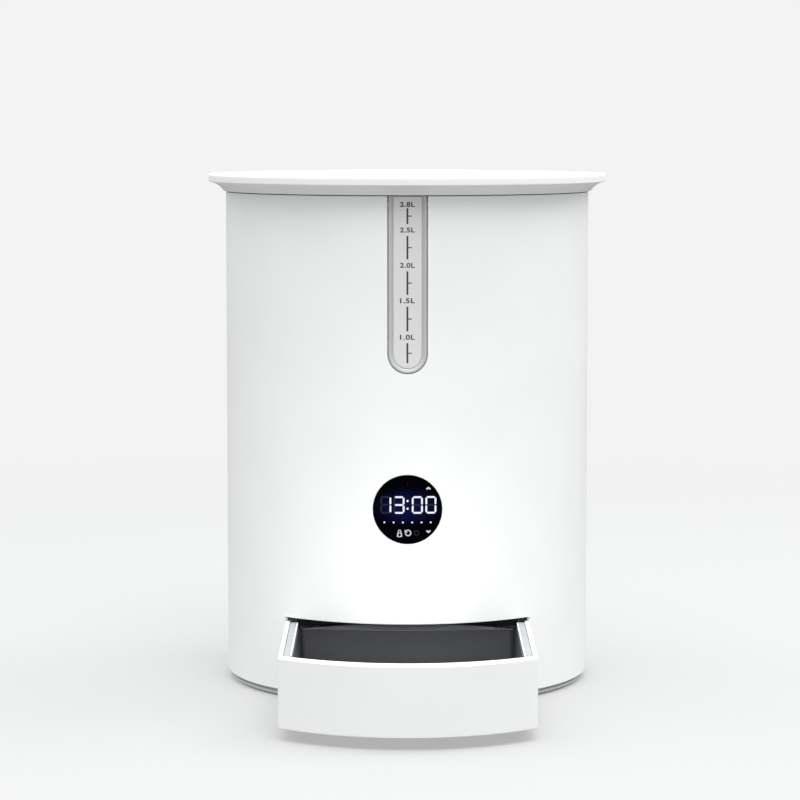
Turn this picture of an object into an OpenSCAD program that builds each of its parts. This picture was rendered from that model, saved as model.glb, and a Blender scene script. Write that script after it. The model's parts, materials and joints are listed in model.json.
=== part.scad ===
// Automatic pet feeder: a round gravity hopper over a motor-driven portion rotor, which drops dry food
// down a chute into a removable bin in a drawer at the foot of the housing.
// Millimetres, +Z up. The origin is on the housing's axis at floor level, and the drawer faces -Y.

/* [Housing] */
// Outer diameter of the round housing
body_d = 210; // [206:1:224]
// Wall of the housing
body_wall = 2.6; // [2:0.1:3.2]
// Height of the housing's top edge above the floor
body_top = 283; // [272:1:310]
// Height of the housing's bottom edge above the floor
body_lift = 4.6; // [4.2:0.1:5.2]
// Depth of the hopper ledge below the housing's top edge
ledge_drop = 4; // [3.5:0.1:6]
// Width of the hopper ledge
ledge_w = 3; // [2:0.5:4]

/* [Lid] */
// How far the lid reaches past the housing
lid_overhang = 10; // [6:0.5:14]
// Height of the lid's upright rim
lid_rim_h = 4.4; // [3.6:0.1:6]
// Height of the hollow cove under the rim
lid_cove_h = 5.5; // [4.5:0.1:7]
// Radius of that cove
lid_cove_r = 12.4; // [10:0.2:18]
// How far the lid's foot stands proud of the housing
lid_lip = 1.2; // [0.8:0.1:2]
// Thickness of the lid's top
lid_wall = 2.4; // [1.8:0.1:3]
// Depth of the ring that plugs the hopper's mouth
plug_depth = 11; // [8:0.5:16]
// Height of the lid's silicone seal
seal_h = 3; // [2.5:0.1:3.4]

/* [Desiccant box] */
// Diameter of the desiccant cup
cup_d = 48; // [40:1:60]
// Height of the desiccant cup
cup_h = 12; // [10:0.5:16]
// Wall of the cup and its cap
cup_wall = 1.6; // [1.2:0.1:2]

/* [Hopper] */
// Room between the housing's inner wall and the inside of the hopper
hopper_room = 11.8; // [9.6:0.1:16]
// Wall of the hopper
hopper_wall = 2; // [1.6:0.1:2.4]
// Height of the funnel
funnel_h = 33; // [26:1:40]
// Inner diameter of the funnel's neck
neck_d = 116; // [110:1:117]
// Thickness of the hopper's two flanges
flange_t = 2; // [1.6:0.1:2.6]

/* [Level window] */
// Width of the window slot in the housing
window_w = 22.2; // [18:0.2:30]
// Height of the slot's lower end above the floor
window_bottom = 185.2; // [165:0.2:210]
// Width of the frame's visible border
window_border = 3; // [2:0.1:4.5]

/* [Display] */
// Diameter of the round display glass
display_d = 38.2; // [34:0.2:44]
// Height of the display's centre above the floor
display_z = 110.5; // [104:0.5:120]
// Depth of the display board's front face behind the housing's surface
board_depth = 11.4; // [10:0.2:13]
// Thickness of the circuit boards
board_t = 1.6; // [1:0.2:2]

/* [Drawer] */
// Width of the drawer
drawer_w = 136.4; // [124:0.4:138]
// Height of the drawer's top edge above the floor
drawer_top = 44; // [40:0.5:46]
// Height of the drawer's underside above the floor
drawer_bottom = 6.5; // [6.3:0.1:8]
// How far the drawer's curved front stands in front of the housing
drawer_out = 112; // [90:1:125]
// Wall of the drawer
drawer_wall = 2.7; // [2.2:0.1:3.2]
// Floor of the drawer
drawer_floor = 2; // [1.6:0.1:2.6]
// Thickness of the band at the drawer's front, from its face to the bin's mouth
front_band = 12; // [9:0.5:16]
// Radius of the bin mouth's front edge, seen from above
bin_front_r = 110.5; // [100:0.5:130]
// Width of the bin frame's top face
frame_w = 4.3; // [3.4:0.1:6]
// Thickness of the bin frame
frame_t = 2.5; // [2:0.1:3]
// Wall of the food bin
bin_wall = 1.8; // [1.4:0.1:2.2]
// Height of the opening's lip above the drawer's top edge
opening_gap = 2.5; // [2:0.1:4]

/* [Drawer bay] */
// Distance of the bay's rear wall behind the housing's front
bay_depth = 61.5; // [60:0.5:64]
// Wall of the bay
bay_wall = 2; // [1.6:0.1:2.6]

/* [Dispenser] */
// Underside of the dispenser chamber's floor above the floor
chamber_z = 118; // [114:0.5:124]
// Inner diameter of the dispenser chamber
chamber_d = 120; // [118:0.5:124]
// Wall of the chamber
chamber_wall = 2.5; // [2:0.1:3]
// Floor of the chamber
chamber_floor = 3; // [2.6:0.1:4]
// Inner depth of the chamber
chamber_h = 28; // [26:0.5:34]
// Number of food pockets in the rotor
pockets = 6; // [5:1:7]
// Diameter of the rotor's hub
hub_d = 52; // [44:1:56]
// Thickness of the rotor's vanes
vane_t = 3; // [2:0.2:4]
// Inner radius of the outlet in the chamber's floor
outlet_r = 36; // [34:0.5:40]
// Half of the angle that the outlet spans
outlet_half = 28; // [22:1:30]
// Diameter of the drive shaft
shaft_d = 6; // [5:0.5:7]

/* [Gear train] */
// Module of the gears
gear_mod = 1; // [0.95:0.01:1.05]
// Teeth on the motor's pinion
pinion_teeth = 12; // [11:1:13]
// Teeth on the idler's large wheel
idler_big_teeth = 42; // [40:1:43]
// Teeth on the idler's small wheel
idler_small_teeth = 14; // [13:1:15]
// Teeth on the output wheel
output_teeth = 49; // [47:1:50]
// Face width of the gears
gear_face = 6.5; // [5.5:0.1:7]
// Direction of the idler from the drive shaft, in degrees
idler_angle = 60; // [56:1:64]

/* [Motor] */
// Diameter of the motor
motor_d = 24.4; // [22:0.2:26]
// Length of the motor without its gearhead
motor_l = 25; // [20:0.5:27]
// Length of the motor's gearhead
gearhead_l = 16; // [12:0.5:17]

/* [Gearcase] */
// Inner depth of the gearcase
case_h = 27; // [26:0.5:28]
// Wall of the gearcase
case_wall = 2.2; // [1.8:0.1:2.6]

/* [Batteries] */
// Diameter of a D cell
cell_d = 33.4; // [32.2:0.1:34.2]
// Length of a D cell
cell_l = 61.5; // [59.5:0.1:61.5]
// Number of cells side by side
cells = 3; // [2:1:3]
// Wall of the battery well
well_wall = 2; // [1.6:0.1:2.4]
// Thickness of the battery door
door_t = 1.8; // [1.4:0.1:2.2]

/* [Base] */
// Height of the rubber foot ring
foot_h = 1.5; // [1.2:0.1:1.8]
// Width of the rubber foot ring
foot_w = 4.5; // [3:0.5:6]
// Thickness of the base plate's outer flange
base_edge_t = 1.4; // [1:0.1:1.6]
// Thickness of the base plate
base_t = 2.5; // [2.4:0.1:3]
// How far the base plate's flange stands back from the housing's surface
base_inset = 1.6; // [1:0.1:2.2]

/* [Speaker and inlet] */
// Diameter of the speaker
speaker_d = 36; // [28:1:40]
// Height of the speaker's centre above the floor
speaker_z = 79; // [74:1:84]
// Height of the power inlet's centre above the floor
inlet_z = 16; // [14:0.5:20]

/* [Fasteners and clearances] */
// Diameter of the self-tapping screws
screw_d = 2.6; // [2.2:0.1:3]
// Gap between fixed pieces that fit in one another
fit = 0.3; // [0.2:0.05:0.4]
// Radial running clearance of shafts in their bores
run = 0.05; // [0.03:0.01:0.08]
// Gap between the drawer and its bay at each side
slide_gap = 0.6; // [0.4:0.1:1]

/* [Hidden] */
$fn = 96;

// --- Radii and levels of the shells
body_r = body_d / 2;
inner_r = body_r - body_wall;
ledge_z = body_top - ledge_drop;
seat_gap = 0.2;
lid_z = body_top + seat_gap;
rim_z = lid_z + lid_cove_h;
lid_top = rim_z + lid_rim_h;
lid_r = body_r + lid_overhang;
liner_t = 2;
liner_z = ledge_z + flange_t + seat_gap + seal_h;
lid_post_r = 60;
hopper_r = inner_r - hopper_room;
hopper_out_r = hopper_r + hopper_wall;
neck_r = neck_d / 2;
hopper_flange_r = inner_r - fit - 0.1;
seal_r = hopper_r + 0.6;
cup_r = cup_d / 2;

// --- Screw sizes
shank_r = screw_d / 2;
pilot_r = shank_r + 0.05;
clear_r = shank_r + 0.35;
head_r = shank_r + 1.3;
head_h = 1.8;
post_r = shank_r + 2.3;

// --- Dispenser levels
floor_top = chamber_z + chamber_floor;
chamber_top = floor_top + chamber_h;
chamber_r = chamber_d / 2;
chamber_out_r = chamber_r + chamber_wall;
rotor_lift = 0.6;
rotor_z = floor_top + rotor_lift;
vane_h = chamber_h - rotor_lift - 3.5;
guard_t = 1.8;
tip_gap = 0.7;
tip_l = 2.8;
vane_r = chamber_r - tip_gap - tip_l;
hub_r = hub_d / 2;
hub_side_h = vane_h * 0.45;
flange_ring_r = chamber_out_r + 2 * post_r - 0.1;
flange_screw_r = chamber_out_r + post_r - 0.6;
outlet_out_r = chamber_r - 3;
shaft_r = shaft_d / 2;
bush_r = shaft_r + 2;
bush_flange_t = 1.5;

// --- Gear train
pressure_angle = 25;
addendum = 0.85;
dedendum = 1.15;
backlash = 0.16;
pinion_pr = gear_mod * pinion_teeth / 2;
idler_big_pr = gear_mod * idler_big_teeth / 2;
idler_small_pr = gear_mod * idler_small_teeth / 2;
output_pr = gear_mod * output_teeth / 2;
idler_arm = output_pr + idler_small_pr;
motor_arm = idler_big_pr + pinion_pr;
idler_x = idler_arm * cos(idler_angle);
idler_y = idler_arm * sin(idler_angle);
motor_x = idler_x - motor_arm;
motor_y = idler_y;
cover_t = 3;
case_top = chamber_z - cover_t;
case_z = case_top - case_h;
case_floor_z = case_z + case_wall;
gear_gap = 2;
output_z = case_top - gear_gap - gear_face;
idler_small_z = output_z - 0.5;
idler_big_z = output_z - gear_gap - gear_face;
output_tip_r = output_pr + addendum * gear_mod;
idler_tip_r = idler_big_pr + addendum * gear_mod;
case_x0 = -output_tip_r - 2 - case_wall;
case_x1 = idler_x + idler_tip_r + 1.7 + case_wall;
case_y0 = -output_tip_r - 2 - case_wall;
case_y1 = idler_y + idler_tip_r + 2.2 + case_wall;
case_post_inset = 6.5;
pin_r = 2;
motor_shaft_r = 2;
motor_screw_x = 8.5;
socket_h = 5;
encoder_r = 15;
encoder_t = 1.2;
encoder_z = case_z + socket_h + 1;
sensor_l = 14;

// --- Drawer and bay
upstand_r = inner_r - fit;
upstand_w = 2.5;
drawer_half = drawer_w / 2;
opening_half = drawer_half + slide_gap + 0.4;
opening_top = drawer_top + opening_gap;
bay_rear = -body_r + bay_depth - 3;
drawer_rear = bay_rear - bay_wall - 0.4;
bin_clear = 0.5;
groove = 0.5;
frame_out = drawer_half - drawer_wall - groove;
strip_room = frame_w + groove + bin_clear;
bin_half = frame_out - frame_w + 0.2;
mouth_corner = 4;
drawer_corner = 2;
strip_front = -body_r - drawer_out + 31;
bin_arch = 2.5;
bin_z = drawer_bottom + drawer_floor;
frame_z = drawer_top - frame_t;
mouth_front = body_r + drawer_out - front_band;
frame_rear = -body_r + 21.5;
bin_rear = drawer_rear - drawer_wall - 3.5;
bin_rear_top = drawer_top - 8;
bay_half = drawer_half + slide_gap;
bay_roof_z = opening_top + 1;

// --- Chute
chute_half = outlet_out_r * sin(outlet_half) + 1.7;
chute_wall = 1.8;
chute_in_y1 = case_y0 - 0.4 - chute_wall;
chute_in_y0 = -outlet_out_r - 1.5;
chute_low_z = bay_roof_z + 0.4;
chute_margin = 9.8;
bay_round_r = upstand_r - upstand_w - fit;
chute_shift = bay_round_r - chute_margin + chute_in_y0;
chute_flange_t = 2.4;

// --- Base and battery well
base_z = foot_h;
base_r = body_r - base_inset;
base_top = base_z + base_t;
upstand_h = 6;
foot_r = upstand_r - 0.6;
base_post_r = foot_r - foot_w - 6;
base_post_angles = [20, 66, 114, 160, 208, 332];
base_pad_h = 2;
contact_room = 8.5;
cell_pitch = cell_d + 1.6;
well_half = cells * cell_pitch / 2 + 2;
well_y0 = bay_rear + 19.5;
well_y1 = well_y0 + cell_l + contact_room;
hinge_r = 2.1;
hinge_y = well_y0 + hinge_r + fit;
hinge_z = base_z + hinge_r;
door_y1 = well_y1 - fit - 0.1;
door_pin_r = 1.2;
cell_z = base_z + door_t + fit + cell_d / 2;
well_top = cell_z + cell_d / 2 + 2;
runner_x = 45;
runner_w = 4;
runner_y0 = -sqrt(pow(upstand_r - 1, 2) - pow(runner_x + runner_w / 2, 2));
bay_foot_x = 63;
bay_foot_y = bay_rear + 5;

// --- Boards, speaker and inlet
board_y = -body_r + board_depth;
board_half_w = 23;
board_half_h = 26;
glass_flange = 3;
glass_t = 1.5;
main_y = 75;
main_half = 36;
main_z0 = 54;
main_z1 = 104;
board_hole_inset = 5;
speaker_h = 9;
speaker_y = inner_r - 5;
inlet_w = 11;
inlet_h = 5.4;

// --- Routes of the wire looms, end to end
display_route = [[0, -89, 89.5], [0, -83, 89.5], [20, -80, 87], [50, -77, 84], [74, -52, 82], [84, -14, 81],
    [80, 26, 80], [64, 52, 78], [44, 64, 77], [31, 66, 76.5], [31, 70, 76.5]];
motor_route = [[-18, 27.6, 45.7], [-18, 32, 45.7], [-20, 48, 46], [-23, 60, 52], [-24, 66, 62],
    [-24, 70, 62]];
inlet_route = [[0, 86.4, 16], [0, 82, 16], [4, 70, 28], [6, 64, 46], [6, 66, 59], [6, 70, 59]];
battery_route = [[18, 45, 30], [18, 50, 30], [18, 60, 40], [18, 66, 59], [18, 70, 59]];
speaker_route = [[9, 85.4, 79], [9, 81, 79], [9, 76.6, 79]];

// ---------------------------------------------------------------- shared shapes

module ring(ro, ri, h) {
    difference() {
        cylinder(r = ro, h = h);
        translate([0, 0, -1]) cylinder(r = ri, h = h + 2);
    }
}

// A block with upright rounded corners, from (x0, y0) to (x1, y1)
module rounded_block(x0, y0, x1, y1, h, r) {
    translate([x0 + r, y0, 0]) cube([x1 - x0 - 2 * r, y1 - y0, h]);
    translate([x0, y0 + r, 0]) cube([x1 - x0, y1 - y0 - 2 * r, h]);
    for (x = [x0 + r, x1 - r], y = [y0 + r, y1 - r]) translate([x, y, 0]) cylinder(r = r, h = h);
}

// The part of a ring between two angles
module ring_sector(ro, ri, h, a0, a1) {
    far = ro * 1.6;
    mid = (a0 + a1) / 2;
    intersection() {
        ring(ro, ri, h);
        linear_extrude(height = h)
            polygon([[0, 0], [far * cos(a0), far * sin(a0)], [far * cos(mid), far * sin(mid)],
                [far * cos(a1), far * sin(a1)]]);
    }
}

// A cylinder along +Y from y = 0
module y_cylinder(r, h) {
    rotate([-90, 0, 0]) cylinder(r = r, h = h);
}

// A pan-head screw whose head sits under z = 0 and whose shank rises from it
module screw_up(length) {
    color("silver") {
        translate([0, 0, -head_h]) cylinder(r = head_r, h = head_h);
        cylinder(r = shank_r, h = length);
    }
}

// Puts its children at the corners of a rectangle
module at_corners(x0, y0, x1, y1) {
    for (x = [x0, x1], y = [y0, y1]) translate([x, y, 0]) children();
}

// The gearcase's four long screws
module case_corners() {
    at_corners(case_x0 + case_post_inset, case_y0 + case_post_inset,
        case_x1 - case_post_inset, case_y1 - case_post_inset) children();
}

// Puts its children round a circle
module around(r, angles) {
    for (a = angles) rotate([0, 0, a]) translate([r, 0, 0]) children();
}

// An upright slot shape seen from the front, cut or kept through the front wall
module front_slot(w, bottom, top) {
    translate([-w / 2, -body_r - 5, bottom + w / 2]) cube([w, 15, top - bottom - w / 2]);
    translate([0, -body_r - 5, bottom + w / 2]) y_cylinder(w / 2, 15);
}

// A rectangle in plan whose front is an arc of radius r about y = cy, with rounded front corners,
// reaching back to y = rear
module arc_front_block(half, r, cy, rear, corner, z0, z1) {
    h = z1 - z0;
    corner_x = half - corner;
    corner_y = cy - sqrt((r - corner) * (r - corner) - corner_x * corner_x);
    reach = 2 * r / norm([corner_x, corner_y - cy]);
    translate([0, 0, z0]) {
        translate([-half, corner_y, 0]) cube([2 * half, rear - corner_y, h]);
        for (x = [-corner_x, corner_x]) translate([x, corner_y, 0]) cylinder(r = corner, h = h);
        intersection() {
            translate([0, cy, 0]) cylinder(r = r, h = h);
            linear_extrude(height = h) polygon([[0, cy], [-corner_x * reach, cy + (corner_y - cy) * reach],
                [corner_x * reach, cy + (corner_y - cy) * reach]]);
        }
    }
}

// Involute gear. roll() is the involute angle at a pressure angle, in degrees
function roll(a) = tan(a) * 180 / PI - a;
function tooth_half(teeth, base_r, r) =
    90 / teeth - backlash / 2 / (gear_mod * teeth / 2) * 180 / PI + roll(pressure_angle)
    - (r > base_r ? roll(acos(base_r / r)) : 0);
function polar(r, a) = [r * cos(a), r * sin(a)];
function gear_points(teeth) =
    let(pr = gear_mod * teeth / 2, base_r = pr * cos(pressure_angle),
        root_r = pr - dedendum * gear_mod, tip_r = pr + addendum * gear_mod,
        start_r = max(base_r, root_r + 0.05),
        radii = [root_r, start_r, (pr + start_r) / 2, (pr + tip_r) / 2, tip_r])
    [for (i = [0:teeth - 1], side = [-1, 1], k = [0:4])
        let(r = radii[side < 0 ? k : 4 - k])
        polar(r, 360 * i / teeth + side * tooth_half(teeth, base_r, r))];

module gear_wheel(teeth, h) {
    linear_extrude(height = h) polygon(gear_points(teeth));
}

// A round wire loom swept along a smooth line through its points, with its ends square to its end stretches
function unit(v) = v / norm(v);
function spline(p, i, t) =
    let(a = p[max(i - 1, 0)], b = p[i], c = p[i + 1], d = p[min(i + 2, len(p) - 1)])
    0.5 * (2 * b + (c - a) * t + (2 * a - 5 * b + 4 * c - d) * t * t + (3 * b - a - 3 * c + d) * t * t * t);
function smooth(p, steps) = concat(
    [for (i = [0:len(p) - 2], k = [0:steps - 1]) spline(p, i, k / steps)], [p[len(p) - 1]]);

module loom(route, d, sides = 8, steps = 5) {
    line = smooth(route, steps);
    n = len(line);
    last = len(route) - 1;
    rings = [for (i = [0:n - 1])
        let(t = unit(i == 0 ? route[1] - route[0] : i == n - 1 ? route[last] - route[last - 1]
                : line[i + 1] - line[i - 1]),
            u = unit(cross(t, [0.12, 0.08, 1])), v = cross(t, u))
        for (k = [0:sides - 1]) line[i] + d / 2 * (u * cos(360 * k / sides) + v * sin(360 * k / sides))];
    walls = [for (i = [0:n - 2], k = [0:sides - 1])
        let(a = i * sides + k, b = i * sides + (k + 1) % sides)
        [a, b, b + sides, a + sides]];
    ends = [[for (k = [sides - 1:-1:0]) k], [for (k = [0:sides - 1]) (n - 1) * sides + k]];
    polyhedron(rings, concat(walls, ends));
}

// ---------------------------------------------------------------- lid

function cove_arc(steps) =
    let(a = [body_r + lid_lip, lid_z], b = [lid_r, rim_z], mid = (a + b) / 2, half = norm(b - a) / 2,
        side = unit([b[1] - a[1], a[0] - b[0]]), c = mid + side * sqrt(lid_cove_r * lid_cove_r - half * half),
        a0 = atan2(a[1] - c[1], a[0] - c[0]), a1 = atan2(b[1] - c[1], b[0] - c[0]))
    [for (i = [0:steps]) let(t = a0 + (a1 - a0) * i / steps) c + lid_cove_r * [cos(t), sin(t)]];

module lid_shell() {
    edge = 0.8;
    foot_in = body_r - 1.2;
    inner_top = lid_top - lid_wall;
    color("white") {
        difference() {
            rotate_extrude() polygon(concat(
                [[foot_in, lid_z]], cove_arc(8),
                [for (i = [0:4]) [lid_r - edge, lid_top - edge] + edge * [cos(22.5 * i), sin(22.5 * i)]],
                [[0, lid_top], [0, inner_top], [lid_r - 4.2, inner_top],
                    [lid_r - 4.2, inner_top - 0.7], [foot_in, lid_z + lid_wall]]));
            around(lid_post_r, [45, 135, 225, 315])
                translate([0, 0, inner_top - 2]) cylinder(r = pilot_r, h = 3);
        }
        around(lid_post_r, [45, 135, 225, 315])
            translate([0, 0, liner_z + liner_t])
                ring(post_r, pilot_r, inner_top - liner_z - liner_t + 0.5);
    }
}

module lid_liner() {
    color("whitesmoke") difference() {
        union() {
            translate([0, 0, liner_z]) cylinder(r = body_r - 5, h = liner_t);
            translate([0, 0, ledge_z + flange_t - plug_depth])
                ring(hopper_r - 1.2, hopper_r - 3.2, liner_z - ledge_z - flange_t + plug_depth + 0.5);
        }
        around(lid_post_r, [45, 135, 225, 315])
            translate([0, 0, liner_z - 1]) cylinder(r = clear_r, h = liner_t + 2);
    }
}

module lid_seal() {
    color("gainsboro") translate([0, 0, liner_z - seal_h]) ring(seal_r + 3, seal_r, seal_h);
}

module lid_screws() {
    around(lid_post_r, [45, 135, 225, 315]) translate([0, 0, liner_z])
        screw_up(lid_top - lid_wall - liner_z - 1);
}

// The cup hangs under the liner. Its lugs carry the cap's lugs until the cap is turned
lug_h = 1.6;
lug_out = cup_r + 1.6;
cup_low = liner_z - cup_h;

module desiccant_cup() {
    color("white") {
        translate([0, 0, cup_low]) ring(cup_r, cup_r - cup_wall, cup_h);
        translate([0, 0, liner_z - cup_wall]) cylinder(r = cup_r, h = cup_wall);
        for (a = [0, 120, 240]) translate([0, 0, cup_low])
            ring_sector(lug_out, cup_r - 0.4, lug_h, a - 15, a + 15);
    }
}

module desiccant_sachet() {
    color("linen") translate([0, 0, cup_low - 0.3 + fit])
        cylinder(r = cup_r - cup_wall - 1.2, h = cup_h - cup_wall - 1.2);
}

module desiccant_cap() {
    floor_t = 1.8;
    skirt_in = lug_out + fit;
    floor_z = cup_low - 0.3 - floor_t;
    skirt_h = floor_t + 0.3 + 2 * lug_h + 0.4;
    color("white") difference() {
        union() {
            translate([0, 0, floor_z]) cylinder(r = skirt_in + cup_wall, h = floor_t);
            translate([0, 0, floor_z]) ring(skirt_in + cup_wall, skirt_in, skirt_h);
            for (a = [0, 120, 240]) translate([0, 0, cup_low + lug_h + fit])
                ring_sector(skirt_in + 0.4, cup_r + fit, lug_h, a - 15, a + 15);
            translate([-cup_r * 0.7, -1.5, floor_z - 3.5]) cube([cup_r * 1.4, 3, 4]);
        }
        for (a = [22.5:45:337.5], x = [8.5, 15.5]) rotate([0, 0, a])
            translate([x, -0.9, floor_z - 1]) cube([5.2, 1.8, floor_t + 2]);
    }
}

// ---------------------------------------------------------------- housing

hopper_screw_r = inner_r - 4.4;
hopper_screw_angles = [45, 135, 225, 315];

module front_opening() {
    translate([-opening_half, -body_r - 5, body_lift - 1])
        cube([2 * opening_half, body_r, opening_top - body_lift + 1]);
}

module base_post() {
    difference() {
        union() {
            cylinder(r = post_r, h = 30);
            translate([post_r - 1, -1, upstand_h + 1])
                cube([inner_r - base_post_r - post_r + 1.6, 2, 28 - upstand_h]);
        }
        translate([0, 0, -1]) cylinder(r = pilot_r, h = 14);
    }
}

// Posts for a board in an upright plane, from the board's face back into the wall
module board_posts(xs, zs, from_y, to_y) {
    for (x = xs, z = zs) translate([x, from_y, z]) difference() {
        y_cylinder(post_r, to_y - from_y);
        translate([0, -1, 0]) y_cylinder(pilot_r, 9);
    }
}

module housing() {
    display_post_x = board_half_w - board_hole_inset;
    display_post_z = board_half_h - board_hole_inset;
    color("white") difference() {
        union() {
            translate([0, 0, body_lift]) ring(body_r, inner_r, body_top - body_lift);
            translate([0, 0, ledge_z - 2]) ring(inner_r + 0.5, inner_r - ledge_w, 2);
            for (a = hopper_screw_angles) rotate([0, 0, a]) translate([hopper_screw_r, 0, ledge_z - 16]) {
                difference() {
                    union() {
                        cylinder(r = post_r, h = 16);
                        translate([0, -post_r, 0]) cube([4.6, 2 * post_r, 16]);
                    }
                    translate([0, 0, 6]) cylinder(r = pilot_r, h = 11);
                }
            }
            around(base_post_r, base_post_angles) translate([0, 0, base_top + base_pad_h]) base_post();
            intersection() {
                cylinder(r = inner_r + 1, h = body_top);
                union() {
                    mirror([0, 1, 0]) board_posts([-display_post_x, display_post_x],
                        [display_z - display_post_z, display_z + display_post_z], -board_y, inner_r + 2);
                    board_posts([-main_half + board_hole_inset, main_half - board_hole_inset],
                        [main_z0 + board_hole_inset, main_z1 - board_hole_inset],
                        main_y + board_t, inner_r + 2);
                    translate([0, speaker_y - 4, speaker_z]) difference() {
                        y_cylinder(speaker_d / 2 + 2, 12);
                        translate([0, -1, 0]) y_cylinder(speaker_d / 2 + fit, 5);
                        translate([0, -1, 0]) y_cylinder(speaker_d / 2 - 2, 14);
                    }
                }
            }
        }
        front_slot(window_w, window_bottom, body_top + 1);
        translate([0, -body_r - 5, display_z]) y_cylinder(display_d / 2 + 0.1, 12);
        front_opening();
        for (i = [-3:3]) translate([-speaker_d * 0.36 + abs(i) * 1.6, inner_r - 4, speaker_z + i * 3.6 - 0.9])
            cube([speaker_d * 0.72 - abs(i) * 3.2, 10, 1.8]);
        translate([-inlet_w / 2 - fit, inner_r - 4, inlet_z - inlet_h / 2 - fit])
            cube([inlet_w + 2 * fit, 10, inlet_h + 2 * fit]);
    }
}

// ---------------------------------------------------------------- level window and display

window_flange_top = ledge_z - 3;
window_flange_t = 1.4;

module window_frame() {
    w = window_w - 0.3;
    low = window_bottom + 0.15;
    color("darkgray") difference() {
        union() {
            intersection() {
                translate([0, 0, low - 1]) ring(body_r - 0.1, inner_r, body_top - low + 0.8);
                front_slot(w, low, body_top - 0.2);
            }
            intersection() {
                translate([0, 0, low - 5])
                    ring(inner_r - 0.1, inner_r - window_flange_t, window_flange_top - low + 5);
                front_slot(window_w + 6, low - 3, window_flange_top);
            }
            intersection() {
                translate([0, 0, low]) ring(inner_r + 0.2, inner_r - 0.3, window_flange_top - low);
                front_slot(w, low, window_flange_top);
            }
        }
        front_slot(w - 2 * window_border, low + window_border, body_top + 1);
    }
}

module window_pane() {
    w = window_w - 0.3 - 2 * window_border - 0.1;
    low = window_bottom + 0.2 + window_border;
    color([0.84, 0.83, 0.83]) intersection() {
        translate([0, 0, low - 1]) ring(body_r - 1.2, inner_r, body_top - low + 0.6);
        front_slot(w, low, body_top - 0.4);
    }
}

module display_glass() {
    color("black") {
        intersection() {
            ring(body_r - 0.05, inner_r - glass_t / 2, body_top);
            translate([0, -body_r - 5, display_z]) y_cylinder(display_d / 2 - 0.05, 12);
        }
        intersection() {
            ring(inner_r - 0.1, inner_r - glass_t, body_top);
            translate([0, -body_r - 5, display_z]) y_cylinder(display_d / 2 + glass_flange, 14);
        }
    }
}

led_front = board_y - 5.4;

module display_board() {
    color("seagreen") difference() {
        translate([-board_half_w, board_y, display_z - board_half_h])
            cube([2 * board_half_w, board_t, 2 * board_half_h]);
        for (x = [-1, 1], z = [-1, 1])
            translate([x * (board_half_w - board_hole_inset), board_y - 1,
                display_z + z * (board_half_h - board_hole_inset)]) y_cylinder(clear_r, board_t + 2);
    }
    color("ivory") translate([-5, board_y + board_t, display_z - board_half_h + 2]) cube([10, 3, 6]);
}

module led_module() {
    color("dimgray") translate([-16, led_front, display_z - 7]) cube([32, board_y - led_front, 15]);
}

touch_x = 12.5;
touch_r = 1.6;
touch_front = fit - sqrt(pow(inner_r - glass_t, 2) - pow(touch_x + touch_r, 2));

module touch_springs() {
    for (x = [-touch_x, touch_x], z = [-touch_x, touch_x]) translate([x, touch_front, display_z + z])
        color("gold") y_cylinder(touch_r, board_y - touch_front);
}

module microphone() {
    color("silver") translate([0, led_front + 2, display_z + 15]) y_cylinder(3, board_y - led_front - 2);
}

module display_screws() {
    for (x = [-1, 1], z = [-1, 1])
        translate([x * (board_half_w - board_hole_inset), board_y + board_t,
            display_z + z * (board_half_h - board_hole_inset)])
            rotate([90, 0, 0]) screw_up(8);
}

// ---------------------------------------------------------------- hopper

module hopper() {
    slope = atan2(funnel_h, hopper_r - neck_r);
    neck_top = chamber_top + 3;
    line_z = neck_top - hopper_wall * cos(slope);
    function skin_z(r) = line_z + tan(slope) * (r - neck_r - hopper_wall * sin(slope));
    boss_h = 7;
    color([0.93, 0.95, 0.96]) difference() {
        union() {
            rotate_extrude() polygon([
                [hopper_r, ledge_z + flange_t], [hopper_flange_r, ledge_z + flange_t],
                [hopper_flange_r, ledge_z], [hopper_out_r, ledge_z],
                [hopper_out_r, skin_z(hopper_out_r)], [neck_r + hopper_wall, skin_z(neck_r + hopper_wall)],
                [neck_r + hopper_wall, chamber_top + flange_t + 0.5],
                [flange_ring_r, chamber_top + flange_t + 0.5], [flange_ring_r, chamber_top],
                [neck_r, chamber_top], [neck_r, neck_top], [hopper_r, neck_top + funnel_h]]);
            around(flange_screw_r, [45, 135, 225, 315]) translate([0, 0, chamber_top])
                cylinder(r = post_r - 0.6, h = boss_h);
        }
        around(flange_screw_r, [45, 135, 225, 315]) translate([0, 0, chamber_top - 1])
            cylinder(r = pilot_r, h = boss_h + 0.2);
        for (a = hopper_screw_angles) rotate([0, 0, a]) translate([hopper_screw_r, 0, ledge_z - 1])
            cylinder(r = clear_r, h = flange_t + 2);
    }
}

module hopper_screws() {
    for (a = hopper_screw_angles) rotate([0, 0, a]) translate([hopper_screw_r, 0, ledge_z + flange_t])
        mirror([0, 0, 1]) screw_up(9);
}

// ---------------------------------------------------------------- dispenser

guard_half = 180 / pockets + 6;
guard_z = chamber_top - guard_t;

module outlet_guard() {
    color("whitesmoke") translate([0, 0, guard_z])
        ring_sector(chamber_r - 0.2, 13, guard_t, 270 - guard_half, 270 + guard_half);
}

module wiper_blade() {
    low = rotor_z + vane_h + 0.3;
    color("dimgray") rotate([0, 0, 270 - guard_half + 2]) translate([hub_r + 2, -0.8, low])
        cube([vane_r - hub_r - 4, 1.6, guard_z - low]);
}

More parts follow.
